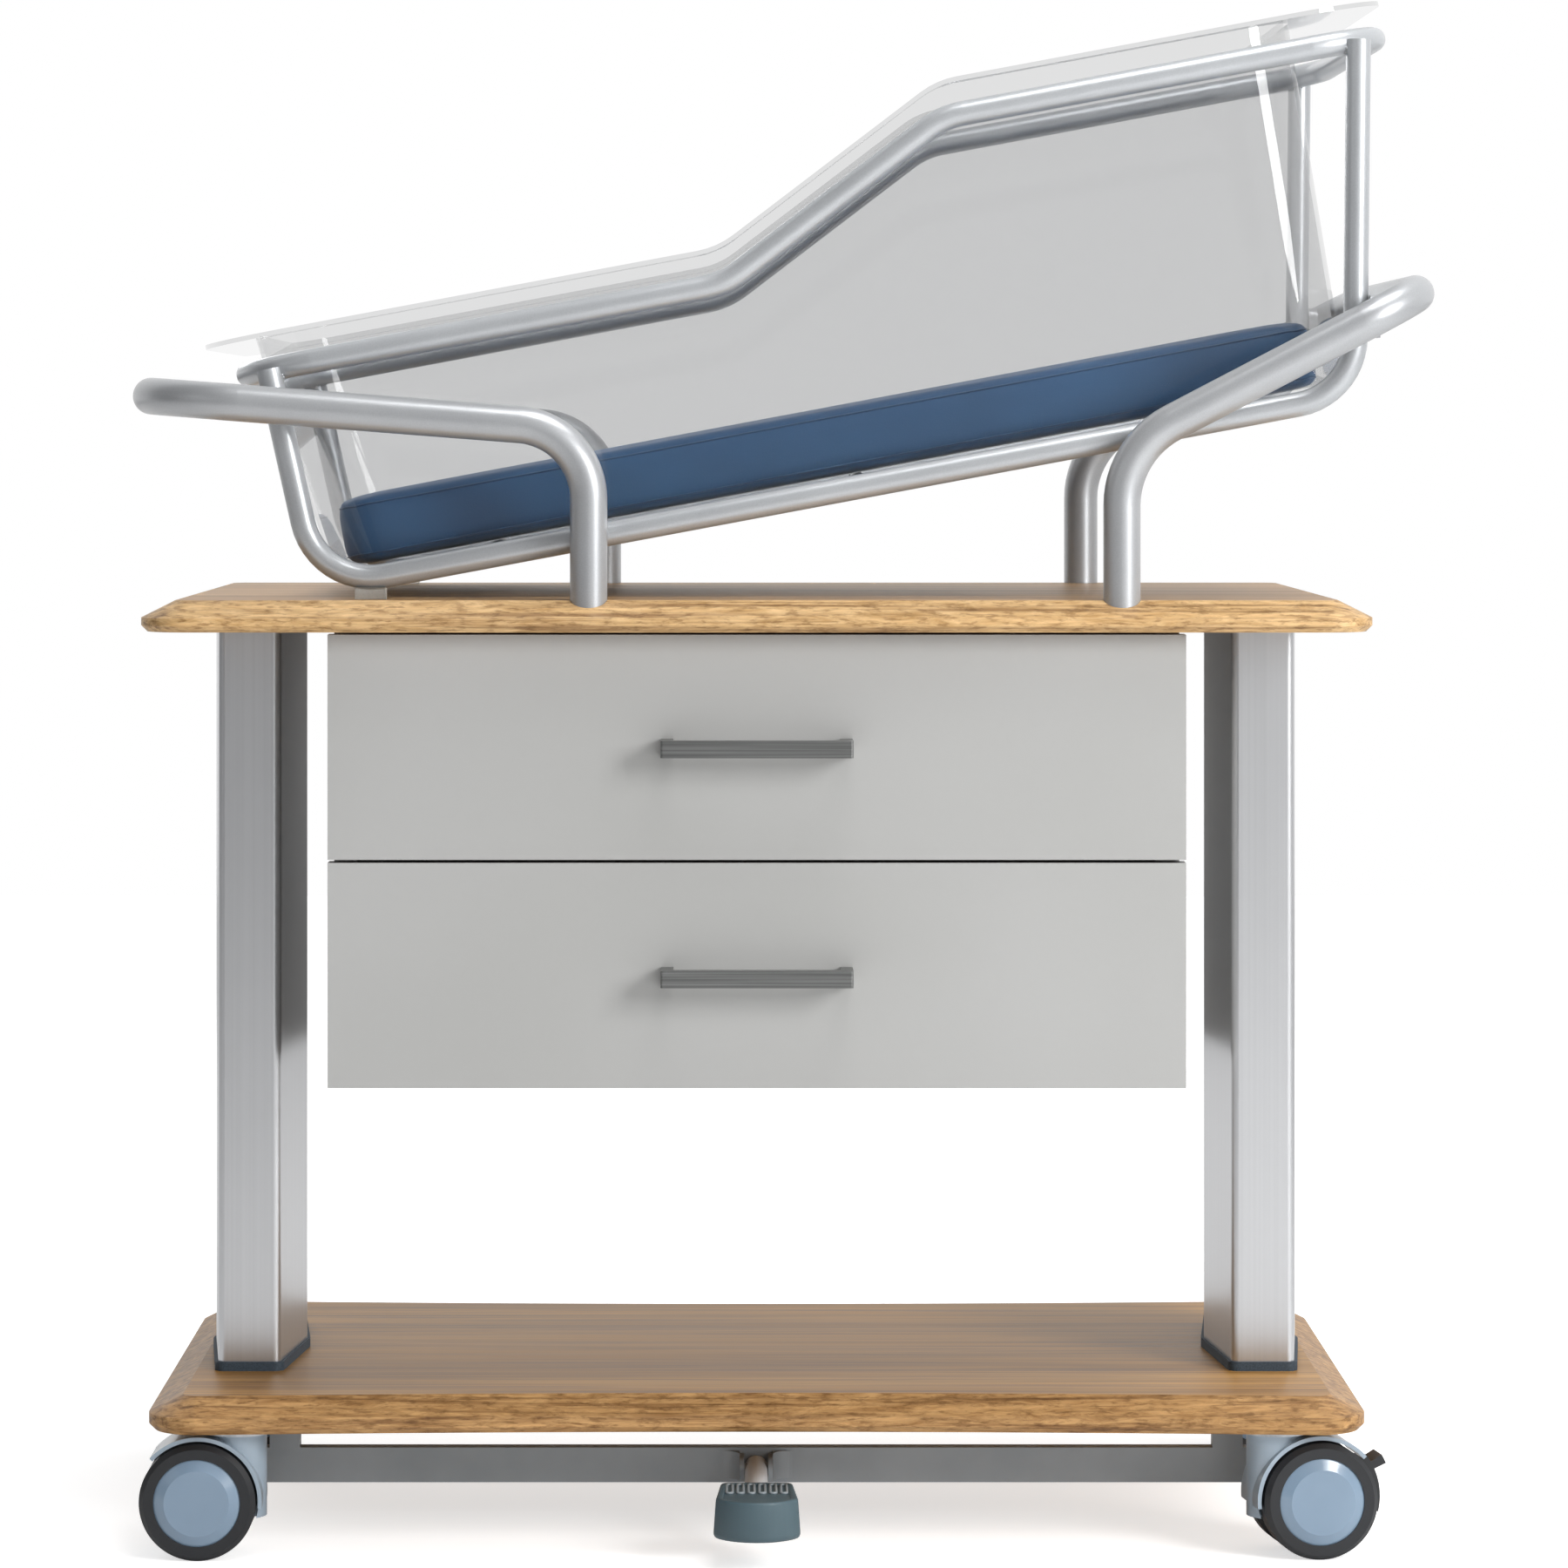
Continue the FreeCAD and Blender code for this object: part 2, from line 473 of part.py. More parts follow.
post_low, post_high = [in_trolley(u, w) for u, w in loop_points[2:]]
arm_slope = (v("head_bar_z") - v("head_knee_z")) / (v("head_bar_x") - handle_radius - v("head_leg_x"))
post_slope = (post_high.x - post_low.x) / (post_high.z - post_low.z)
cross_x = post_low.x
for _ in range(8):
    cross_z = v("head_knee_z") + (cross_x - v("head_leg_x")) * arm_slope
    cross_x = post_low.x + (cross_z - post_low.z) * post_slope
plate_y = v("handle_spread") - handle_radius
head_handle = doc.getObject("push_handle_head").Shape.copy()
head_handle.Placement = FreeCAD.Placement()
plate_low = cross_z - v("guide_drop")
guides = []
pins = []
for side in (-1, 1):
    left = cross_x - v("guide_foot_end")
    right = cross_x + cradle_radius + v("guide_head_gap")
    guide = Part.makeBox(right - left, v("guide_plate"), v("guide_drop") + v("guide_rest"), Vector(left, -plate_y, plate_low))
    depth = plate_y - spread + cradle_radius / 2
    tall = v("guide_drop") + v("guide_height") - depth / 2
    finger = Part.makeBox(v("guide_finger"), depth, tall, Vector(right, -plate_y, plate_low))
    crown = Part.makeCylinder(depth / 2, v("guide_finger"), Vector(right, depth / 2 - plate_y, plate_low + tall), Vector(1, 0, 0))
    guide = guide.multiFuse([finger, crown]).removeSplitter().cut(head_handle).Solids[0]
    guides.append(mirrored(guide) if side > 0 else guide)
    pin_z = cross_z + v("guide_rest") + v("seat_gap") + v("guide_pin")
    pin = Part.makeCylinder(v("guide_pin"), plate_y - v("guide_pin_gap") - spread, Vector(cross_x, side * spread, pin_z), Vector(0, side, 0))
    back_to_cradle = cradle_place.inverse()
    pin.translate(MIDDLE)
    pin.transformShape(back_to_cradle.toMatrix())
    pins.append(pin.cut(loops[0 if side < 0 else 1]).Solids[0])
feature("tilt_guides", Part.makeCompound(guides))
feature("rest_pins", Part.makeCompound(pins), cradle_place)


# Casters: plate and stem under the shelf, a hooded fork that swivels, and two wheels on one axle.
def turned(section, axis_point, direction):
    """A solid of revolution of a closed outline about an axis."""
    face = Part.Face(section)
    return face.revolve(axis_point, direction, 360)


wheel_r = v("wheel_radius")
trail = v("caster_trail")
shelf_under = v("shelf_top_z") - v("shelf_thick")
hub_r = wheel_r - v("tyre_depth")
centre = Vector(trail, 0, wheel_r)
across_y = Vector(0, 1, 0)


def disc(radius, low, high, at=None):
    """A cylinder across the caster, from low to high along Y."""
    return Part.makeCylinder(radius, high - low, (at or centre) + Vector(0, low, 0), across_y)


def polar(radius, degrees, y=0.0):
    """A point round the wheel's centre: 0 points along the trail and 90 up."""
    a = math.radians(degrees)
    return centre + Vector(radius * math.cos(a), y, radius * math.sin(a))


def ring_band(low_r, high_r, start, end, half_width):
    """A band round the wheel's centre, between two radii and two angles."""
    middle = (start + end) / 2
    edges = [arc_at(polar(high_r, start), polar(high_r, middle), polar(high_r, end)),
             Part.LineSegment(polar(high_r, end), polar(low_r, end)),
             arc_at(polar(low_r, end), polar(low_r, middle), polar(low_r, start)),
             Part.LineSegment(polar(low_r, start), polar(high_r, start))]
    face = Part.Face(Part.Wire([e.toShape() for e in edges]))
    face.translate(Vector(0, -half_width, 0))
    return face.extrude(Vector(0, 2 * half_width, 0))


def wheel_pair():
    """Two tyres and two hubs."""
    tyres = []
    hubs = []
    low = v("wheel_offset")
    high = low + v("wheel_width")
    shoulder = v("tyre_shoulder")
    bore = v("axle_radius") + v("bore_gap")
    for sign in (1, -1):
        profile = [(low, hub_r), (low, wheel_r - shoulder), (low + shoulder, wheel_r), (high - shoulder, wheel_r),
                   (high, wheel_r - shoulder), (high, hub_r)]
        tyre = turned(wire([Vector(trail, y, wheel_r + r) for y, r in profile], [0] * 6, closed=True), centre, across_y)
        hub_profile = [(low, bore), (low, hub_r), (high - 1, hub_r), (high + v("hub_dish"), hub_r - 7),
                       (high + v("hub_dish"), 0), (high - 3, 0), (high - 3, bore)]
        hub = turned(wire([Vector(trail, y, wheel_r + r) for y, r in hub_profile], [0] * 7, closed=True), centre, across_y)
        tyres.append(tyre if sign > 0 else mirrored(tyre))
        hubs.append(hub if sign > 0 else mirrored(hub))
    return Part.makeCompound(tyres), Part.makeCompound(hubs)


def fork():
    """Stem boss, hood, two cheeks and the axle, in one moulding."""
    hood_low = wheel_r + v("hood_gap")
    hood_high = hood_low + v("hood_thick")
    half_width = v("wheel_offset") + v("wheel_width") - v("hood_inset")
    top = shelf_under - v("plate_thick") - v("seat_gap")
    hood = ring_band(hood_low, hood_high, v("hood_start"), v("hood_end"), half_width)
    boss = Part.makeCylinder(v("boss_radius"), top - wheel_r + 12, Vector(0, 0, wheel_r - 12))
    room = disc(hood_low, v("cheek_outer"), 60).fuse(disc(hood_low, -60, -v("cheek_outer")))
    cheeks = []
    for low in (v("cheek_inner"), -v("cheek_outer")):
        high = low + v("cheek_outer") - v("cheek_inner")
        slab = Part.makeBox(trail, high - low, 2 * v("cheek_radius"), Vector(0, low, wheel_r - v("cheek_radius")))
        cheeks += [slab, disc(v("cheek_radius"), low, high)]
    back = ring_band(8, hood_low + 1, 95, 176, v("cheek_outer"))
    body_ = boss.multiFuse([hood, back]).cut(room)
    slot = ring_band(1, hood_low + 0.01, -60, 92, v("cheek_inner")).fuse(disc(v("lever_eye") + 2, -v("cheek_inner"), v("cheek_inner")))
    body_ = body_.multiFuse(cheeks).cut(slot)
    axle = disc(v("axle_radius"), -v("wheel_offset") - v("wheel_width") + 4, v("wheel_offset") + v("wheel_width") - 4)
    body_ = body_.fuse(axle)
    cap = Part.makeCylinder(60, 60, Vector(0, 0, top))
    stem = Part.makeCylinder(v("stem_radius") + v("bore_gap"), v("stem_length") + 1, Vector(0, 0, top - v("stem_length")))
    return body_.cut(cap).cut(stem).removeSplitter()


def brake_lever():
    """A toe lever: an eye on the axle between the cheeks, an arm, and a curved tab outside the wheels."""
    half_eye = v("cheek_inner") - v("running_gap")
    low_r = wheel_r + v("hood_gap")
    eye = disc(v("lever_eye"), -half_eye, half_eye)
    arm = ring_band(6, low_r + 1, -6, 10, half_eye)
    tab = ring_band(low_r, low_r + v("lever_thick"), -14, 38, v("lever_width"))
    toe = ring_band(low_r, low_r + v("lever_reach"), v("lever_toe_low"), v("lever_toe_high"), v("lever_width"))
    hole = disc(v("axle_radius") + v("bore_gap"), -10, 10)
    return eye.multiFuse([arm, tab, toe]).cut(hole).removeSplitter()


tyres, hubs = wheel_pair()
caster_fork = fork()
plate = Part.makeCylinder(v("plate_radius"), v("plate_thick"), Vector(0, 0, shelf_under - v("plate_thick")))
pin = Part.makeCylinder(v("stem_radius"), v("stem_length"), Vector(0, 0, shelf_under - v("plate_thick") - v("stem_length")))
caster_plate = plate.fuse(pin)
CASTERS = (("front_foot", -1, -1, 180), ("front_head", 1, -1, v("front_heading")),
           ("back_foot", -1, 1, 180), ("back_head", 1, 1, 0))
for name, sx, sy, heading in CASTERS:
    place = FreeCAD.Placement(Vector(sx * v("caster_x"), sy * v("caster_y"), 0) + MIDDLE,
                              FreeCAD.Rotation(Vector(0, 0, 1), heading))
    feature(f"caster_plate_{name}", caster_plate.copy(), place)
    feature(f"caster_fork_{name}", caster_fork.copy(), place)
    feature(f"tyres_{name}", tyres.copy(), place)
    feature(f"wheel_hubs_{name}", hubs.copy(), place)
    if name in ("front_head", "back_foot"):
        feature(f"brake_lever_{name}", brake_lever(), place)

# Pedal: a bar hung under the shelf, two ears on it, and an arched arm with a ribbed rubber pad.
bar_back = -v("bar_y") + v("bar_depth") / 2
bar_front = -v("bar_y") - v("bar_depth") / 2
owner = body("pedal_bar")
block(owner, "bar", "Additive", ("bar_length", "bar_depth", "bar_height"),
      ("0 - bar_length / 2", "0 - bar_y - bar_depth / 2", "bar_bottom"))
hangers = []
for sign in (-1, 1):
    hanger = Part.makeBox(v("hanger_width"), v("bar_depth"), shelf_under - v("bar_bottom") - v("bar_height"))
    hanger.translate(Vector(sign * v("hanger_x") - v("hanger_width") / 2, bar_front, v("bar_bottom") + v("bar_height")))
    hangers.append(hanger)
feature("bar_hangers", Part.makeCompound(hangers))

pivot = Vector(0, -v("pedal_pivot_y"), v("pedal_pivot_z"))
along_x = Vector(1, 0, 0)
half_arm = v("pedal_arm_width") / 2
ears = []
for sign in (-1, 1):
    low = half_arm + v("running_gap") if sign > 0 else -half_arm - v("running_gap") - v("ear_thick")
    ear = Part.makeBox(v("ear_thick"), v("pedal_pivot_y") + bar_front, 16, Vector(low, -v("pedal_pivot_y"), pivot.z - 8))
    ears += [ear, Part.makeCylinder(8, v("ear_thick"), Vector(low, pivot.y, pivot.z), along_x)]
pin_half = half_arm + v("running_gap") + v("ear_thick")
pin = Part.makeCylinder(v("pedal_pin"), 2 * pin_half, Vector(-pin_half, pivot.y, pivot.z), along_x)
feature("pedal_bracket", ears[0].multiFuse(ears[1:] + [pin]).removeSplitter())

arm_low = pivot.z - (v("pedal_arm_height") + 2) / 2
arm_start = pivot.y + 2 * v("pedal_pin")
shoulder_z = arm_low + v("pedal_arm_height") - half_arm
arm_edges = [Part.LineSegment(Vector(-half_arm, arm_start, arm_low), Vector(-half_arm, arm_start, shoulder_z)),
             arc_at(Vector(-half_arm, arm_start, shoulder_z), Vector(0, arm_start, shoulder_z + half_arm), Vector(half_arm, arm_start, shoulder_z)),
             Part.LineSegment(Vector(half_arm, arm_start, shoulder_z), Vector(half_arm, arm_start, arm_low)),
             Part.LineSegment(Vector(half_arm, arm_start, arm_low), Vector(-half_arm, arm_start, arm_low))]
arm_face = Part.Face(Part.Wire([e.toShape() for e in arm_edges]))
arm = arm_face.extrude(Vector(0, -v("pad_back") - 20 - arm_start, -v("pedal_arm_drop")))
eye = Part.makeCylinder(v("pedal_pin") + v("bore_gap"), 60, Vector(-30, pivot.y, pivot.z), along_x)
pedal_arm = arm.cut(eye)
feature("pedal_arm", pedal_arm)

half_pad = v("pad_width") / 2
pad_depth = v("pad_front") - v("pad_back")
front_y = -v("pad_front")
back_y = -v("pad_back")
edges = [Part.LineSegment(Vector(-half_pad, front_y + 14, 0), Vector(-half_pad + 3, back_y, 0)),
         Part.LineSegment(Vector(-half_pad + 3, back_y, 0), Vector(half_pad - 3, back_y, 0)),
         Part.LineSegment(Vector(half_pad - 3, back_y, 0), Vector(half_pad, front_y + 14, 0)),
         arc_at(Vector(half_pad, front_y + 14, 0), Vector(0, front_y, 0), Vector(-half_pad, front_y + 14, 0))]
pad_face = Part.Face(Part.Wire([e.toShape() for e in edges]))
pad_face.translate(Vector(0, 0, v("pad_bottom")))
pad_block = pad_face.extrude(Vector(0, 0, v("pad_top") - v("pad_bottom")))
pad_block = pad_block.makeFillet(3, [e for e in pad_block.Edges if e.BoundBox.ZLength > 1])
grooves = []
pitch = v("pad_width") * 0.8 / v("pad_ribs")
for i in range(int(v("pad_ribs"))):
    groove_x = (i - (v("pad_ribs") - 1) / 2) * pitch
    grooves.append(Part.makeBox(pitch / 2, pad_depth * 0.62, 3, Vector(groove_x - pitch / 4, back_y - pad_depth * 0.72, v("pad_top") - 2)))
rubber = pad_block.cut(Part.makeCompound(grooves)).cut(pedal_arm)
feature("pedal_pad", max(rubber.Solids, key=lambda s: s.Volume))

doc.recompute()
for item in doc.Objects:
    bad = [s for s in item.State if s in ("Invalid", "Error")]
    if bad:
        raise RuntimeError(f"{item.Label} failed: {bad}")
for node in parts:
    if node.Shape.isNull() or not node.Shape.isValid() or not node.Shape.Solids:
        raise RuntimeError(f"{node.Label} has no valid solid")
os.makedirs("parts", exist_ok=True)
for node in parts:
    node.Shape.exportStep(f"parts/{node.Label}.step")
print(len(parts), "parts written")
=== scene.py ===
import bpy, bmesh, math
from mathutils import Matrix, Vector
from mathutils.bvhtree import BVHTree


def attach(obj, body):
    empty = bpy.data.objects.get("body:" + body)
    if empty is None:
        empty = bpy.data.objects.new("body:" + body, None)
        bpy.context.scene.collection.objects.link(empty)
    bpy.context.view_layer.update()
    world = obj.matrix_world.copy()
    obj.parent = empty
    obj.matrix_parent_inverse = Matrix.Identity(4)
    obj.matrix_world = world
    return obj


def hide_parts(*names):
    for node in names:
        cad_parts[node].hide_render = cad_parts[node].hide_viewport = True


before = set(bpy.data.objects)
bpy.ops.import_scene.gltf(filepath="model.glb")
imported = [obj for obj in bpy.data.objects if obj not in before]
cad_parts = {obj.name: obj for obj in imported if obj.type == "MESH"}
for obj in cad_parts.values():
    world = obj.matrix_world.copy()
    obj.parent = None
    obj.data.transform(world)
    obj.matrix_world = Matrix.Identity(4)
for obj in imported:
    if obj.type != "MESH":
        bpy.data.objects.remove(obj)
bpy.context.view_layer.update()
scene = bpy.context.scene
scene.view_settings.view_transform = "Standard"

# Studio: a pale floor, a white room and soft lamps. The strongest lamp stands close on the right, so
# the left column and the left ends of the tubes stay darker. The camera looks level at the tub.
middle_x, middle_y = -0.0165, 0.011
dim_grey, bright_grey, room_strength = (0.27, 0.27, 0.275, 1), (0.86, 0.86, 0.86, 1), 0.84
floor_grey, floor_glow = (0.9, 0.9, 0.9, 1), 0.62
frame_pixels, focal_pixels, shift_pixels, sensor = 1800, 6426, (55, -400), 36


def area_lamp(name, place, aim, size, power, mirrored=True):
    """A soft rectangular lamp; mirrored says whether metal and gloss show it."""
    lamp = bpy.data.lights.new(name, "AREA")
    lamp.shape, lamp.size, lamp.size_y, lamp.energy = "RECTANGLE", size[0], size[1], power
    holder = bpy.data.objects.new(name, lamp)
    holder.location = place
    holder.rotation_euler = (Vector(aim) - Vector(place)).to_track_quat("-Z", "Y").to_euler()
    holder.visible_glossy = mirrored
    scene.collection.objects.link(holder)


area_lamp("lamp_right", (1.95, -2.0, 1.4), (0.05, 0, 0.5), (0.9, 1.1), 52)
area_lamp("lamp_left", (-2.6, -2.2, 1.5), (0, 0, 0.5), (1.2, 1.2), 2)
area_lamp("lamp_top", (0.5, -0.6, 2.7), (0, 0, 0.6), (1.3, 0.9), 30)
area_lamp("lamp_low", (0.7, -2.6, 0.35), (0, 0, 0.08), (1.0, 0.4), 5, mirrored=False)
area_lamp("lamp_back", (-1.4, 2.6, 1.5), (0, 0, 0.5), (1.4, 1.2), 22, mirrored=False)


def wired(tree, kind, links=(), **values):
    """A node of the tree with its properties and its inputs set; links are (socket, input)."""
    node = tree.nodes.new(kind)
    for key, value in values.items():
        if hasattr(node, key):
            setattr(node, key, value)
        else:
            node.inputs[key.replace("_", " ")].default_value = value
    for socket, slot in links:
        tree.links.new(socket, node.inputs[slot])
    return node


world = bpy.data.worlds.new("white_room")
scene.world = world
world.use_nodes = True
tree = world.node_tree
tree.nodes.clear()
rays = wired(tree, "ShaderNodeLightPath")
seen = wired(tree, "ShaderNodeMath", [(rays.outputs["Is Camera Ray"], 0), (rays.outputs["Is Transmission Ray"], 1)],
             operation="MAXIMUM")
way = wired(tree, "ShaderNodeTexCoord")
split = wired(tree, "ShaderNodeSeparateXYZ", [(way.outputs["Generated"], 0)])
behind = wired(tree, "ShaderNodeMapRange", [(split.outputs["Y"], "Value")], From_Min=0.15, From_Max=0.55)
shown = wired(tree, "ShaderNodeMath", [(behind.outputs["Result"], 0), (rays.outputs["Is Glossy Ray"], 1)],
              operation="MULTIPLY")
white = wired(tree, "ShaderNodeMath", [(seen.outputs[0], 0), (shown.outputs[0], 1)], operation="MAXIMUM")
across = wired(tree, "ShaderNodeMapRange", [(split.outputs["X"], "Value")], From_Min=-1)
side_band = wired(tree, "ShaderNodeValToRGB", [(across.outputs["Result"], "Fac")])
for number, at, grey in ((0, 0.42, dim_grey), (1, 0.58, bright_grey)):
    stop = side_band.color_ramp.elements[number]
    stop.position, stop.color = at, grey
room = wired(tree, "ShaderNodeBackground", [(side_band.outputs["Color"], "Color")], Strength=room_strength)
backdrop = wired(tree, "ShaderNodeBackground", Color=(1, 1, 1, 1), Strength=1.0)
pick = wired(tree, "ShaderNodeMixShader", [(white.outputs[0], 0), (room.outputs[0], 1), (backdrop.outputs[0], 2)])
wired(tree, "ShaderNodeOutputWorld", [(pick.outputs[0], "Surface")])

floor_mesh = bpy.data.meshes.new("studio_floor")
floor_mesh.from_pydata([(-4, -3, 0), (4, -3, 0), (4, 5, 0), (-4, 5, 0)], [], [(0, 1, 2, 3)])
studio_floor = bpy.data.objects.new("studio_floor", floor_mesh)
scene.collection.objects.link(studio_floor)
pale = bpy.data.materials.new("pale_floor")
pale.use_nodes = True
tree = pale.node_tree
tree.nodes.clear()
rays = wired(tree, "ShaderNodeLightPath")
matt = wired(tree, "ShaderNodeBsdfDiffuse", Color=floor_grey)
glow = wired(tree, "ShaderNodeEmission", Strength=floor_glow)
lit = wired(tree, "ShaderNodeAddShader", [(matt.outputs[0], 0), (glow.outputs[0], 1)])
pick = wired(tree, "ShaderNodeMixShader",
             [(rays.outputs["Is Camera Ray"], 0), (matt.outputs[0], 1), (lit.outputs[0], 2)])
wired(tree, "ShaderNodeOutputMaterial", [(pick.outputs[0], "Surface")])
floor_mesh.materials.append(pale)

lens = bpy.data.cameras.new("camera")
lens.sensor_width = sensor
lens.lens = sensor * focal_pixels / frame_pixels
lens.shift_x = shift_pixels[0] / frame_pixels
lens.shift_y = shift_pixels[1] / frame_pixels
camera = bpy.data.objects.new("camera", lens)
camera.location = (middle_x - 0.0133, middle_y - 3.810, 0.7238)
camera.rotation_euler = (math.radians(90), 0, 0)
scene.collection.objects.link(camera)
scene.camera = camera


# Boards: the table and the lower shelf are solid oak, planed, with the upper edge cut back in a broad
# bevel and clear lacquered. The grain runs along the trolley, and the bevel shows it cut across.
def linear(red, green, blue):
    """A colour written in 0-255 display values, in the linear values that a socket takes."""
    shares = [c / 255 for c in (red, green, blue)]
    return tuple(((s + 0.055) / 1.055) ** 2.4 if s > 10 / 255 else s / 12.92 for s in shares) + (1.0,)


def material(name, rough=0.5, **sockets):
    """A new material with its tree, its shader and its object coordinates; sockets are set by name."""
    made = bpy.data.materials.new(name)
    made.use_nodes = True
    shader = made.node_tree.nodes["Principled BSDF"]
    shader.inputs["Roughness"].default_value = rough
    for key, value in sockets.items():
        shader.inputs[key.replace("_", " ")].default_value = value
    place = wired(made.node_tree, "ShaderNodeTexCoord")
    return made, made.node_tree, shader, place.outputs["Object"]


def stretched_noise(tree, place, scale, detail=4.0, rough=0.55, twist=0.0):
    """A noise pattern on object coordinates, with its own scale along each axis."""
    mapping = wired(tree, "ShaderNodeMapping", [(place, "Vector")], Scale=scale)
    noise = wired(tree, "ShaderNodeTexNoise", [(mapping.outputs[0], "Vector")],
                  Scale=1.0, Detail=detail, Roughness=rough, Distortion=twist)
    return noise.outputs["Fac"]


def fine_noise(tree, place, scale, detail=4.0):
    """A noise pattern with the same scale along every axis."""
    return stretched_noise(tree, place, (scale, scale, scale), detail)


def ramp(tree, factor, stops):
    """A colour band: stops are (place, colour)."""
    band = wired(tree, "ShaderNodeValToRGB", [(factor, "Fac")])
    for i, (at, colour) in enumerate(stops):
        stop = band.color_ramp.elements[i] if i < 2 else band.color_ramp.elements.new(at)
        stop.position, stop.color = at, colour
    return band.outputs["Color"]


def mixed(tree, factor, first, second, blend="MIX"):
    """Two colours mixed; each of the three may be a socket or a value."""
    node = wired(tree, "ShaderNodeMix", data_type="RGBA", blend_type=blend)
    for slot, given in ((0, factor), (6, first), (7, second)):
        if isinstance(given, bpy.types.NodeSocket):
            tree.links.new(given, node.inputs[slot])
        else:
            node.inputs[slot].default_value = given
    return node.outputs[2]


def toned(tree, shader, pattern, dark, light, low=0.3, high=0.7):
    """The base colour follows a pattern between two shades, written in 0-255 display values."""
    shades = ramp(tree, pattern, [(low, linear(*dark)), (high, linear(*light))])
    tree.links.new(shades, shader.inputs["Base Color"])


def rough_from(tree, shader, factor, low, high):
    """Roughness that follows a pattern between two values."""
    spread = wired(tree, "ShaderNodeMapRange", [(factor, "Value")], To_Min=low, To_Max=high)
    tree.links.new(spread.outputs["Result"], shader.inputs["Roughness"])


def bumped(tree, shader, height, strength, distance):
    """Surface relief from a pattern."""
    relief = wired(tree, "ShaderNodeBump", [(height, "Height")], Strength=strength, Distance=distance)
    tree.links.new(relief.outputs["Normal"], shader.inputs["Normal"])


def coat(made, *nodes):
    """Gives CAD nodes their finish."""
    for node in nodes:
        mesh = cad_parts[node].data
        mesh.materials.clear()
        mesh.materials.append(made)


plain = (1, 1, 1, 1)
plank_shades = [(0.35, (0.80, 0.78, 0.76, 1)), (0.62, (1.08, 1.08, 1.08, 1))]
pore_shades = [(0.36, (0.46, 0.38, 0.32, 1)), (0.50, plain), (0.66, (1.12, 1.10, 1.08, 1))]
dash_shades = [(0.36, (0.50, 0.42, 0.33, 1)), (0.47, plain), (0.64, (1.12, 1.10, 1.07, 1))]


def oak(name, face_dark, face_light, edge_dark, edge_light):
    """Oak: long figure and open pores on the faces, short cut-across grain on the bevels and edges."""
    made, tree, shader, place = material(name, 0.42, Specular_IOR_Level=0.32, Coat_Weight=0.04, Coat_Roughness=0.22)
    figure = stretched_noise(tree, place, (1.6, 26, 26), 5, 0.6, 0.6)
    streak = stretched_noise(tree, place, (3.2, 170, 170), 4, 0.7)
    plank = stretched_noise(tree, place, (0.9, 9, 9), 1, 0.4)
    face = ramp(tree, figure, [(0.30, linear(*face_dark)), (0.72, linear(*face_light))])
    face = mixed(tree, 0.5, face, ramp(tree, plank, plank_shades), "MULTIPLY")
    cut = stretched_noise(tree, place, (30, 90, 210), 6, 0.72, 1.0)
    short = stretched_noise(tree, place, (95, 170, 430), 3, 0.6)
    edge = ramp(tree, cut, [(0.32, linear(*edge_dark)), (0.62, linear(*edge_light))])
    edge = mixed(tree, 0.70, edge, ramp(tree, short, dash_shades), "MULTIPLY")
    shape = wired(tree, "ShaderNodeNewGeometry")
    upright = wired(tree, "ShaderNodeSeparateXYZ", [(shape.outputs["Normal"], 0)])
    level = wired(tree, "ShaderNodeMath", [(upright.outputs["Z"], 0)], operation="ABSOLUTE")
    flat = wired(tree, "ShaderNodeMapRange", [(level.outputs[0], "Value")], From_Min=0.90, From_Max=0.97)
    colour = mixed(tree, flat.outputs["Result"], edge, face)
    colour = mixed(tree, 0.85, colour, ramp(tree, streak, pore_shades), "MULTIPLY")
    tree.links.new(colour, shader.inputs["Base Color"])
    rough_from(tree, shader, streak, 0.34, 0.52)
    bumped(tree, shader, streak, 0.25, 0.0006)
    return made


coat(oak("table_oak", (166, 128, 84), (204, 166, 120), (166, 130, 82), (212, 178, 130)), "table_top")
coat(oak("shelf_oak", (140, 100, 48), (192, 146, 82), (132, 94, 52), (186, 146, 96)), "lower_shelf")

# Columns: extruded aluminium, anodised satin, with the faint lengthwise lines of the die. Each stands
# on a dark plastic base cap, and screws with washers hold the table on its head.
made, tree, shader, place = material("anodised_column", 0.3, Metallic=1.0)
lines = stretched_noise(tree, place, (420, 420, 1.2), 2, 0.5)
toned(tree, shader, lines, (202, 203, 205), (207, 208, 210))
rough_from(tree, shader, lines, 0.29, 0.32)
bumped(tree, shader, lines, 0.02, 0.0002)
coat(made, "column_foot", "column_head")

made, tree, shader, place = material("base_cap_plastic", 0.65)
grain = fine_noise(tree, place, 900, 2)
toned(tree, shader, grain, (40, 52, 62), (58, 72, 84))
bumped(tree, shader, grain, 0.15, 0.0002)
coat(made, "column_base_foot", "column_base_head")

zinc_steel, tree, shader, place = material("zinc_steel", 0.38, Metallic=1.0)
toned(tree, shader, fine_noise(tree, place, 120, 3), (160, 164, 168), (196, 199, 202), 0.35, 0.65)


def node_group(name, *inputs):
    """A Geometry Nodes tree with named inputs between its points and its finish, and those inputs."""
    group = bpy.data.node_groups.new(name, "GeometryNodeTree")
    for label, kind in (("Geometry", "Geometry"), *inputs, ("Finish", "Material")):
        group.interface.new_socket(label, in_out="INPUT", socket_type="NodeSocket" + kind)
    group.interface.new_socket("Geometry", in_out="OUTPUT", socket_type="NodeSocketGeometry")
    return group, group.nodes.new("NodeGroupInput").outputs


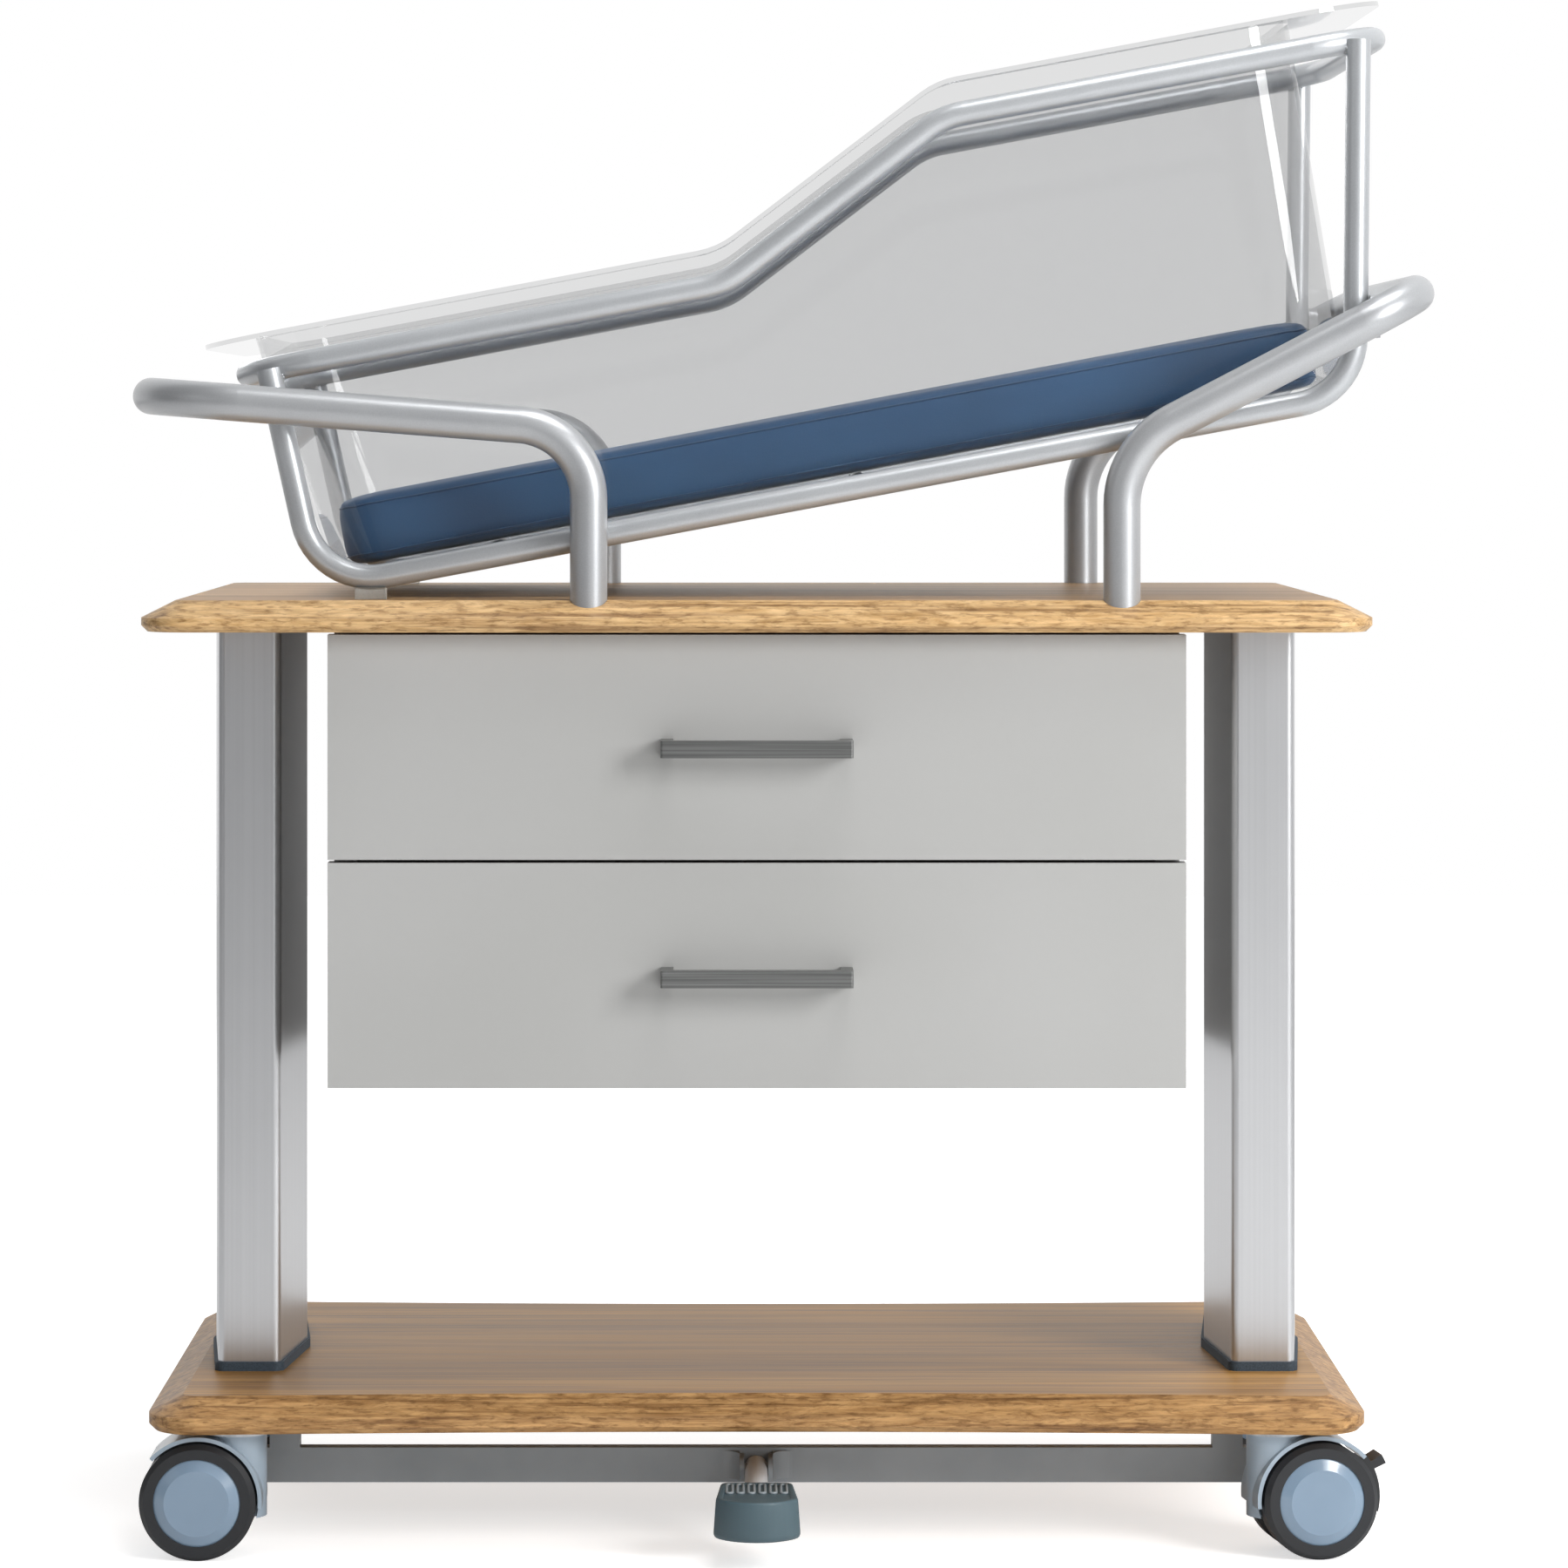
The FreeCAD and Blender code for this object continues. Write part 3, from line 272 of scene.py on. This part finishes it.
def group_end(group, given, shapes):
    """Ends a tree: every instance becomes real and takes the finish."""
    real = wired(group, "GeometryNodeRealizeInstances", [(shapes, "Geometry")])
    coated = wired(group, "GeometryNodeSetMaterial", [(real.outputs[0], "Geometry"), (given["Finish"], "Material")])
    wired(group, "NodeGroupOutput", [(coated.outputs[0], 0)])


def scaled(group, socket, factor):
    """A number times a fixed factor."""
    node = wired(group, "ShaderNodeMath", [(socket, 0)], operation="MULTIPLY")
    node.inputs[1].default_value = factor
    return node.outputs[0]


def lifted(group, shape, rise):
    """A shape moved up by a number."""
    lift = wired(group, "ShaderNodeCombineXYZ", [(rise, "Z")])
    moved = wired(group, "GeometryNodeTransform", [(shape, "Geometry"), (lift.outputs[0], "Translation")])
    return moved.outputs["Geometry"]


fastener, given = node_group("socket_screws", ("Head radius", "Float"), ("Head height", "Float"), ("Turn", "Vector"))
radius, height = given["Head radius"], given["Head height"]
disc = wired(fastener, "GeometryNodeMeshCylinder",
             [(scaled(fastener, radius, 1.45), "Radius"), (scaled(fastener, height, 0.3), "Depth")], Vertices=20)
washer = lifted(fastener, disc.outputs["Mesh"], scaled(fastener, height, 0.15))
head = wired(fastener, "GeometryNodeMeshCone",
             [(radius, "Radius Bottom"), (scaled(fastener, radius, 0.82), "Radius Top"),
              (scaled(fastener, height, 0.68), "Depth")], Vertices=12)
raised = lifted(fastener, head.outputs["Mesh"], scaled(fastener, height, 0.31))
rim = wired(fastener, "GeometryNodeExtrudeMesh", [(raised, "Mesh"), (head.outputs["Top"], "Selection")],
            Offset_Scale=0.0)
mouth = wired(fastener, "GeometryNodeScaleElements",
              [(rim.outputs["Mesh"], "Geometry"), (rim.outputs["Top"], "Selection")], Scale=0.5)
socket = wired(fastener, "GeometryNodeExtrudeMesh",
               [(mouth.outputs["Geometry"], "Mesh"), (rim.outputs["Top"], "Selection"),
                (scaled(fastener, height, -0.42), "Offset Scale")])
both = wired(fastener, "GeometryNodeJoinGeometry", [(socket.outputs["Mesh"], 0), (washer, 0)])
placed = wired(fastener, "GeometryNodeInstanceOnPoints",
               [(given["Geometry"], "Points"), (both.outputs[0], "Instance"), (given["Turn"], "Rotation")])
group_end(fastener, given, placed.outputs[0])


def grown(name, points, group, values, edges=()):
    """Runs a Geometry Nodes tree on a mesh of points and keeps the outcome as a plain mesh object."""
    seed = bpy.data.meshes.new(name + "_seed")
    seed.from_pydata([tuple(p) for p in points], list(edges), [])
    carrier = bpy.data.objects.new(name + "_seed", seed)
    scene.collection.objects.link(carrier)
    nodes = carrier.modifiers.new("nodes", "NODES")
    nodes.node_group = group
    for item in group.interface.items_tree:
        if item.item_type == "SOCKET" and item.in_out == "INPUT" and item.name in values:
            nodes[item.identifier] = values[item.name]
    bpy.context.view_layer.update()
    ready = carrier.evaluated_get(bpy.context.evaluated_depsgraph_get())
    mesh = bpy.data.meshes.new_from_object(ready)
    mesh.name = name
    made = bpy.data.objects.new(name, mesh)
    scene.collection.objects.link(made)
    bpy.data.objects.remove(carrier)
    return made


def trolley(x, y, z):
    """A point of the trolley, measured in millimetres from its middle on the floor, in metres."""
    return Vector((x / 1000 + middle_x, y / 1000 + middle_y, z / 1000))


def screws(name, owner, points, turn, head_radius, head_height, finish=zinc_steel):
    """Socket screws with washers at the points, heads facing the way that turn gives."""
    made = grown(name, [trolley(*p) for p in points], fastener,
                 {"Head radius": head_radius, "Head height": head_height, "Turn": turn, "Finish": finish})
    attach(made, owner)
    return made


facing_down = (math.pi, 0, 0)
column_x, table_under, shelf_under = 336, 598, 82
around_head, bolt_y, sides = ((0, 120), (-42, 60), (42, 60)), 60, (-1, 1)
head_screws = [(end * (column_x + x), side * y, table_under) for end in sides for side in sides for x, y in around_head]
foot_bolts = [(end * column_x, side * bolt_y, shelf_under) for end in sides for side in sides]
screws("column_head_screws", "trolley", head_screws, facing_down, 0.0045, 0.003)
screws("column_foot_bolts", "trolley", foot_bolts, facing_down, 0.007, 0.005)

# Cabinet and drawers: board with a fine matt paint, a little orange peel in it. The back is screwed on.
# The runners are zinc plated, and the bar pulls are brushed steel, screwed through the fronts.
made, tree, shader, place = material("cabinet_paint", 0.5)
peel = fine_noise(tree, place, 260, 2)
cloud = fine_noise(tree, place, 3, 2)
toned(tree, shader, cloud, (165, 165, 163), (173, 173, 172))
rough_from(tree, shader, cloud, 0.44, 0.56)
bumped(tree, shader, peel, 0.06, 0.0004)
coat(made, "cabinet_side_foot", "cabinet_side_head", "cabinet_floor", "cabinet_back",
     "drawer_front_upper", "drawer_front_lower", "drawer_box_upper", "drawer_box_lower")
coat(zinc_steel, "runners_upper", "runners_lower", "drawer_slides_upper", "drawer_slides_lower")

made, tree, shader, place = material("brushed_pull", 0.36, Metallic=1.0)
brush = stretched_noise(tree, place, (6, 900, 900), 3)
toned(tree, shader, brush, (108, 109, 108), (142, 143, 142))
rough_from(tree, shader, brush, 0.3, 0.46)
bumped(tree, shader, brush, 0.1, 0.0002)
coat(made, "drawer_pull_upper", "drawer_pull_lower")

facing_back, back_face = (-math.pi / 2, 0, 0), 200
back_edge_x, back_row_x = 260, (-260, -130, 0, 130, 260)
back_screws = [(x, back_face, z) for x in back_row_x for z in (312, 590)]
back_screws += [(end * back_edge_x, back_face, z) for end in sides for z in (405, 498)]
screws("cabinet_back_screws", "trolley", back_screws, facing_back, 0.0035, 0.0018)


# Push handles: bent steel tube in a silver powder coat, seated in sockets in the table. The tilt
# guides are welded to the head handle and coated with it.
def powder_coat(name, dark, light, rough, metal):
    """Powder coat: a metallic base with fine fleck under a clear layer."""
    made, tree, shader, place = material(name, rough, Metallic=metal, Coat_Weight=0.3, Coat_Roughness=0.2)
    fleck = fine_noise(tree, place, 1400, 1)
    cloud = fine_noise(tree, place, 7, 3)
    dark, light = linear(*dark), linear(*light)
    slow, fine = ramp(tree, cloud, [(0.3, dark), (0.7, light)]), ramp(tree, fleck, [(0.4, dark), (0.6, light)])
    tree.links.new(mixed(tree, 0.25, slow, fine), shader.inputs["Base Color"])
    rough_from(tree, shader, cloud, rough - 0.04, rough + 0.05)
    bumped(tree, shader, fleck, 0.07, 0.0002)
    return made


silver = powder_coat("silver_handle_coat", (164, 166, 169), (184, 186, 188), 0.36, 0.55)
coat(silver, "push_handle_foot", "push_handle_head", "tilt_guides")

# Cradle: thinner steel tube in the same coat, welded. Every joint keeps its bead. The rest pins are
# welded to the head posts, and clear silicone pads are glued on under the foot bend.
tilt = math.radians(10.6)
pivot = Vector((-0.2495 + middle_x, middle_y, 0.6774))
loop_radius, cross_radius, drop_radius = 0.008, 0.006, 0.0012
loop_line, floor_line, floor_length, cross_shares = 0.190, -0.045, 0.639, (0.1, 0.5, 0.9)
foot_post, foot_lean, foot_top = -0.04503, 2.0, 0.100
head_lean, head_top, below_ring = -11.2, 0.180, 0.04


def on_cradle(u, y, w):
    """A point of the cradle's own frame in the row's frame, in metres."""
    along, up = math.cos(tilt), math.sin(tilt)
    return Vector((pivot.x + u * along - w * up, pivot.y + y, pivot.z + u * up + w * along))


tube_silver = powder_coat("silver_cradle_coat", (170, 173, 176), (190, 193, 196), 0.34, 0.5)
coat(tube_silver, "cradle_ring", "side_loop_front", "side_loop_back", "cradle_cross_tubes", "rest_pins")
made, tree, shader, place = material("clear_silicone", 0.3, Transmission_Weight=0.85, IOR=1.25)
grain = fine_noise(tree, place, 700, 2)
toned(tree, shader, grain, (214, 212, 206), (226, 224, 218))
bumped(tree, shader, grain, 0.2, 0.0003)
coat(made, "saddles")

weld, given = node_group("weld_bead", ("Drop radius", "Float"))
drop = wired(weld, "GeometryNodeMeshIcoSphere", [(given["Drop radius"], "Radius")], Subdivisions=2)
placed = wired(weld, "GeometryNodeInstanceOnPoints",
               [(given["Geometry"], "Points"), (drop.outputs["Mesh"], "Instance")])
group_end(weld, given, placed.outputs[0])


def full_turn(steps):
    """The angles of a full circle in even steps."""
    return [2 * math.pi * step / steps for step in range(steps)]


def smoothed(piece):
    """Shades every face of a piece as part of a round form."""
    for face in piece.data.polygons:
        face.use_smooth = True


beads = []
for share in cross_shares:
    for side in sides:
        for turn in full_turn(22):
            away, rise = cross_radius * math.cos(turn), cross_radius * math.sin(turn)
            reach = loop_line - math.sqrt(loop_radius ** 2 - rise ** 2)
            beads.append(on_cradle(share * floor_length + away, side * reach, floor_line + rise))
head_post = floor_length + floor_line * math.tan(math.radians(head_lean))
ring_surface = BVHTree.FromObject(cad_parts["cradle_ring"], bpy.context.evaluated_depsgraph_get())
for post, lean, top in ((foot_post, foot_lean, foot_top), (head_post, head_lean, head_top)):
    rise = Vector((-math.sin(math.radians(lean)), 0, math.cos(math.radians(lean))))
    start = Vector((post, 0, 0)) + rise * (top - below_ring)
    for side in sides:
        for turn in full_turn(26):
            spoke = Vector((math.cos(turn) * rise.z, math.sin(turn), -math.cos(turn) * rise.x)) * loop_radius
            below = start + spoke + Vector((0, side * loop_line, 0))
            above = below + rise
            low, high = on_cradle(*below), on_cradle(*above)
            hit = ring_surface.ray_cast(low, (high - low).normalized(), 0.05)[0]
            if hit is not None:
                beads.append(hit)
weld_beads = grown("weld_beads", beads, weld, {"Drop radius": drop_radius, "Finish": tube_silver})
smoothed(weld_beads)
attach(weld_beads, "cradle")

# Tub: vacuum formed clear acrylic. The drawn sheet keeps a slight waviness, and its turned-out rim
# hangs over the cradle's ring. Only its outer faces have gloss, so none is seen from within the wall.
made, tree, shader, place = material("clear_acrylic", 0.02, Base_Color=(0.755, 0.757, 0.76, 1), IOR=1.0,
                                     Transmission_Weight=1.0, Coat_Weight=0.8, Coat_Roughness=0.03)
facing = wired(tree, "ShaderNodeNewGeometry")
gloss = wired(tree, "ShaderNodeMapRange", [(facing.outputs["Backfacing"], "Value")], To_Min=0.8, To_Max=0.0)
tree.links.new(gloss.outputs["Result"], shader.inputs["Coat Weight"])
bumped(tree, shader, fine_noise(tree, place, 6, 1), 0.05, 0.003)
coat(made, "tub")

# Mattress: a firm foam slab in a coated, wipe-clean cover, blown out a little between its welded
# seams. It lies in the tub, so its under side is flat and its top is slightly crowned.
slab_u, slab_y, slab_w = (-0.0305, 0.628), 0.158, (-0.0354, 0.0096)
corner_radius, edge_radius, swell = 0.032, 0.006, 0.0024
voxel, last_frame, pressure = 0.006, 20, 4.0
under_side, under_lift = 0.002, 0.0006
seam_radius, seam_inset, seam_levels = 0.0007, 0.0015, (slab_w[0] + 0.004, slab_w[1] - 0.0055)


def slab_ring(inset, level):
    """The slab's rounded outline, taken in by inset, as points in the cradle's frame."""
    radius = corner_radius - inset
    points = []
    for quarter, (end, side) in enumerate(((1, -1), (1, 1), (0, 1), (0, -1))):
        centre_u = slab_u[end] + (-corner_radius if end else corner_radius)
        centre_y = side * (slab_y - corner_radius)
        for step in range(9):
            turn = math.pi / 2 * (quarter - 1 + step / 8)
            points.append((centre_u + math.cos(turn) * radius, centre_y + math.sin(turn) * radius, level))
    return points


def quarter_turn(steps):
    """The angles of a quarter circle in even steps, both ends included."""
    return [math.pi / 2 * step / steps for step in range(steps + 1)]


def lofted(rings):
    """A closed shape through rings of points, with both ends filled."""
    shape = bmesh.new()
    rings = [[shape.verts.new(point) for point in ring] for ring in rings]
    for low, high in zip(rings, rings[1:]):
        for i in range(len(low)):
            j = (i + 1) % len(low)
            shape.faces.new((low[i], low[j], high[j], high[i]))
    shape.faces.new(rings[0][::-1])
    shape.faces.new(rings[-1])
    return shape


def baked(mesh, name, kind, **settings):
    """The mesh with one modifier applied, as a new mesh."""
    carrier = bpy.data.objects.new(name + "_raw", mesh)
    scene.collection.objects.link(carrier)
    step = carrier.modifiers.new(kind.lower(), kind)
    for key, value in settings.items():
        setattr(step, key, value)
    bpy.context.view_layer.update()
    ready = carrier.evaluated_get(bpy.context.evaluated_depsgraph_get())
    done = bpy.data.meshes.new_from_object(ready)
    bpy.data.objects.remove(carrier)
    return done


low_level, high_level = slab_w[0], slab_w[1] - swell
rings = [slab_ring(swell + edge_radius * (1 - math.sin(a)), low_level + edge_radius * (1 - math.cos(a)))
         for a in quarter_turn(4)]
rings += [slab_ring(swell + edge_radius * (1 - math.cos(a)), high_level - edge_radius * (1 - math.sin(a)))
          for a in quarter_turn(4)]
core = lofted(rings)
slab_mesh = bpy.data.meshes.new("slab_core")
core.to_mesh(slab_mesh)
core.free()
slab_mesh = baked(slab_mesh, "slab", "REMESH", mode="VOXEL", voxel_size=voxel)
still = [vertex.co.copy() for vertex in slab_mesh.vertices]
moved = still
blown = bpy.data.objects.new("slab_blown", slab_mesh.copy())
scene.collection.objects.link(blown)
cloth = blown.modifiers.new("cloth", "CLOTH")
cloth.settings.quality = 6
cloth.settings.use_pressure = True
cloth.settings.uniform_pressure_force = pressure
cloth.settings.effector_weights.gravity = 0
cloth.settings.tension_stiffness = cloth.settings.compression_stiffness = 25
cloth.settings.bending_stiffness = 1.5
cloth.point_cache.frame_end = last_frame
for frame_number in range(1, last_frame + 1):
    scene.frame_set(frame_number)
ready = blown.evaluated_get(bpy.context.evaluated_depsgraph_get())
moved = [vertex.co.copy() for vertex in ready.data.vertices]
bpy.data.objects.remove(blown)
scene.frame_set(1)
for vertex, old, new in zip(slab_mesh.vertices, still, moved):
    shift = new - old
    if shift.length > swell:
        shift *= swell / shift.length
    swollen = old + shift
    swollen.z = min(max(swollen.z, slab_w[0]), slab_w[1])
    if old.z < slab_w[0] + under_side:
        swollen.z = slab_w[0] + min(under_lift, max(0.0, old.z - slab_w[0]))
    vertex.co = swollen
slab_mesh = baked(slab_mesh, "slab_fine", "SUBSURF", levels=1, render_levels=1)
for vertex in slab_mesh.vertices:
    vertex.co = on_cradle(*vertex.co)
slab_mesh.name = "mattress_cover"
mattress_cover = bpy.data.objects.new("mattress_cover", slab_mesh)
scene.collection.objects.link(mattress_cover)
smoothed(mattress_cover)


def coated_cloth(name, dark, light):
    """Coated fabric: a fine woven grain under a dull film, with slow changes of shade."""
    made, tree, shader, place = material(name, 0.55, Sheen_Weight=0.12, Sheen_Roughness=0.5)
    weave = fine_noise(tree, place, 900, 2)
    toned(tree, shader, stretched_noise(tree, place, (6, 6, 10), 3), dark, light)
    rough_from(tree, shader, weave, 0.48, 0.62)
    bumped(tree, shader, weave, 0.22, 0.0004)
    return made


slab_mesh.materials.clear()
slab_mesh.materials.append(coated_cloth("coated_cover", (26, 66, 102), (38, 82, 122)))
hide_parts("mattress")
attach(mattress_cover, "cradle")

round_bead, given = node_group("round_bead", ("Bead radius", "Float"))
line = wired(round_bead, "GeometryNodeMeshToCurve", [(given["Geometry"], "Mesh")])
cross = wired(round_bead, "GeometryNodeCurvePrimitiveCircle", [(given["Bead radius"], "Radius")], Resolution=8)
tube = wired(round_bead, "GeometryNodeCurveToMesh", [(line.outputs[0], "Curve"), (cross.outputs[0], "Profile Curve")])
group_end(round_bead, given, tube.outputs[0])


def closed_edges(counts):
    """The edges that close each run of so many points."""
    edges, start = [], 0
    for count in counts:
        edges += [(start + i, start + (i + 1) % count) for i in range(count)]
        start += count
    return edges


def divided(points, step=0.008):
    """A closed line with its long straight stretches divided."""
    made = []
    for first, second in zip(points, points[1:] + points[:1]):
        a, b = Vector(first), Vector(second)
        count = max(1, round((b - a).length / step))
        made += [a.lerp(b, k / count) for k in range(count)]
    return made


slab_surface = BVHTree.FromObject(mattress_cover, bpy.context.evaluated_depsgraph_get())
seam_points, counts = [], []
for level in seam_levels:
    ring = divided(slab_ring(seam_inset, level))
    seam_points += [slab_surface.find_nearest(on_cradle(*point))[0] for point in ring]
    counts.append(len(ring))
seam_cloth = coated_cloth("welded_seam", (22, 56, 88), (32, 70, 106))
mattress_seams = grown("mattress_seams", seam_points, round_bead,
                       {"Bead radius": seam_radius, "Finish": seam_cloth}, closed_edges(counts))
smoothed(mattress_seams)
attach(mattress_seams, "cradle")


# Casters: twin wheels with black tyres and pale blue hub covers, under a moulded blue-grey hood.
# Each turns on a steel stem. Two have a black toe lever for the brake.
def moulded(name, dark, light, rough, relief=0.08, gloss=0.2):
    """Moulded plastic or rubber: slow changes of shade and a fine spark-eroded grain."""
    made, tree, shader, place = material(name, rough, Coat_Weight=gloss, Coat_Roughness=0.1)
    cloud = fine_noise(tree, place, 14, 3)
    toned(tree, shader, cloud, dark, light)
    rough_from(tree, shader, cloud, rough - 0.04, rough + 0.05)
    bumped(tree, shader, fine_noise(tree, place, 1100, 2), relief, 0.0002)
    return made


hood = moulded("hood_plastic", (140, 155, 168), (158, 173, 186), 0.30, 0.06, 0.5)
hub = moulded("hub_plastic", (112, 133, 153), (124, 145, 165), 0.24, 0.04, 0.6)
tyre = moulded("tyre_rubber", (13, 15, 19), (23, 26, 31), 0.55, 0.2)
for corner in ("front_foot", "front_head", "back_foot", "back_head"):
    coat(hood, f"caster_fork_{corner}")
    coat(hub, f"wheel_hubs_{corner}")
    coat(tyre, f"tyres_{corner}")
    coat(zinc_steel, f"caster_plate_{corner}")
coat(moulded("lever_plastic", (20, 21, 24), (32, 34, 37), 0.45), "brake_lever_front_head", "brake_lever_back_foot")

# Pedal: a flat steel bar hung under the shelf by two bolted hangers, painted grey. A short arm turns
# on a pin between two ears with filled corners, and carries a ribbed rubber pad.
bar_paint = moulded("bar_paint", (143, 150, 155), (157, 163, 168), 0.42)
coat(bar_paint, "pedal_bar", "bar_hangers", "pedal_bracket")
coat(moulded("pedal_arm_paint", (222, 226, 230), (234, 238, 242), 0.55), "pedal_arm")

hanger_x, hanger_y, bolt_x, bolt_depth = 312, -99, 17, 7
dark_zinc, tree, shader, place = material("black_zinc", 0.45, Metallic=0.9)
toned(tree, shader, fine_noise(tree, place, 160, 3), (58, 62, 66), (80, 84, 88), 0.35, 0.65)
bolt_points = [(end * (hanger_x + step * bolt_x), hanger_y + side * bolt_depth, shelf_under)
               for end in sides for step in sides for side in sides]
screws("hanger_bolts", "trolley", bolt_points, facing_down, 0.0045, 0.0045, dark_zinc)


def finished(name, shape, made, owner):
    """Turns a bmesh into a piece with outward faces, its finish and its body."""
    bmesh.ops.recalc_face_normals(shape, faces=shape.faces)
    mesh = bpy.data.meshes.new(name)
    shape.to_mesh(mesh)
    shape.free()
    mesh.materials.append(made)
    piece = bpy.data.objects.new(name, mesh)
    scene.collection.objects.link(piece)
    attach(piece, owner)
    return piece


ear_out, ear_line, fillet_radius, fillet_low, fillet_high = 11.0, -105.2, 13, 34, 52
for side, end in ((-1, "foot"), (1, "head")):
    outline = [(side * ear_out, ear_line)]
    outline += [(side * (ear_out + fillet_radius * (1 - math.sin(a))), ear_line - fillet_radius * (1 - math.cos(a)))
                for a in quarter_turn(10)]
    shape = lofted([[trolley(x, y, level) for x, y in outline] for level in (fillet_low, fillet_high)])
    finished(f"bracket_fillet_{end}", shape, bar_paint, "trolley")

front_y, pad_low, pad_high, pad_round, pad_taper = -262.0, 21.0, 47.0, 6.0, 0.065
half_front, half_back, back_line, front_line = 22.0, 19.0, -196.0, -243.6
under_round, top_round = 4, 1.6
bulge = front_line - (front_y + pad_round)
arc_radius = (half_front ** 2 + bulge ** 2) / (2 * bulge)
sweep = math.asin(half_front / arc_radius)
pad_line = [(arc_radius * math.sin(a), front_y + pad_round + arc_radius * (1 - math.cos(a)))
            for a in [sweep * (k / 8 - 1) for k in range(17)]]
pad_line += [(half_back, back_line), (-half_back, back_line)]
bearings = [math.atan2(p[0] - q[0], q[1] - p[1]) for p, q in zip(pad_line, pad_line[1:] + pad_line[:1])]


def pad_ring(inset, level):
    """The pad's rounded outline, taken in by inset, narrowed a little towards its top."""
    points = []
    narrow = 1 - pad_taper * (level - pad_low) / (pad_high - pad_low)
    for i, (x, y) in enumerate(pad_line):
        first, second = bearings[i - 1], bearings[i]
        turn = (second - first) % (2 * math.pi)
        steps = 6 if turn > 0.3 else 1
        for k in range(steps + 1):
            a = first + turn * k / steps
            reach = pad_round - inset
            points.append(trolley((x + reach * math.cos(a)) * narrow, y + reach * math.sin(a), level))
    return points


profile = [(under_round * (1 - math.sin(a)), pad_low + under_round * (1 - math.cos(a))) for a in quarter_turn(5)]
profile += [(top_round * (1 - math.cos(a)), pad_high - top_round * (1 - math.sin(a))) for a in quarter_turn(5)]
profile += [(3.6, pad_high), (4.3, pad_high - 0.4), (4.6, pad_high - 1.3)]
shape = lofted([pad_ring(inset, level) for inset, level in profile])
pad_rubber = moulded("pedal_rubber", (56, 76, 84), (70, 90, 98), 0.5, 0.22, 0.15)
pedal_pad = finished("pedal_tread", shape, pad_rubber, "pedal")
for face in pedal_pad.data.polygons:
    face.use_smooth = len(face.vertices) == 4
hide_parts("pedal_pad")

rib_count, rib_step, rib_half, rib_rear, rib_front = 6, 7.0, 1.9, -196.0, -222.0
rib_level, rib_radius = pad_high - 1.3 + 0.5, 0.0009
half_turn = [math.pi * k / 8 for k in range(9)]
rib_points, counts = [], []
for number in range(rib_count):
    centre = (number - 2.5) * rib_step
    loop = [(centre + rib_half * math.cos(a), rib_rear + rib_half * math.sin(a)) for a in half_turn]
    loop += [(centre - rib_half * math.cos(a), rib_front - rib_half * math.sin(a)) for a in half_turn]
    rib_points += [trolley(x, y, rib_level) for x, y in loop]
    counts.append(len(loop))
rib_rubber = moulded("pedal_rib_rubber", (128, 136, 140), (146, 154, 158), 0.5, 0.2, 0.2)
pad_ribs = grown("pedal_tread_ribs", rib_points, round_bead,
                 {"Bead radius": rib_radius, "Finish": rib_rubber}, closed_edges(counts))
smoothed(pad_ribs)
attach(pad_ribs, "pedal")
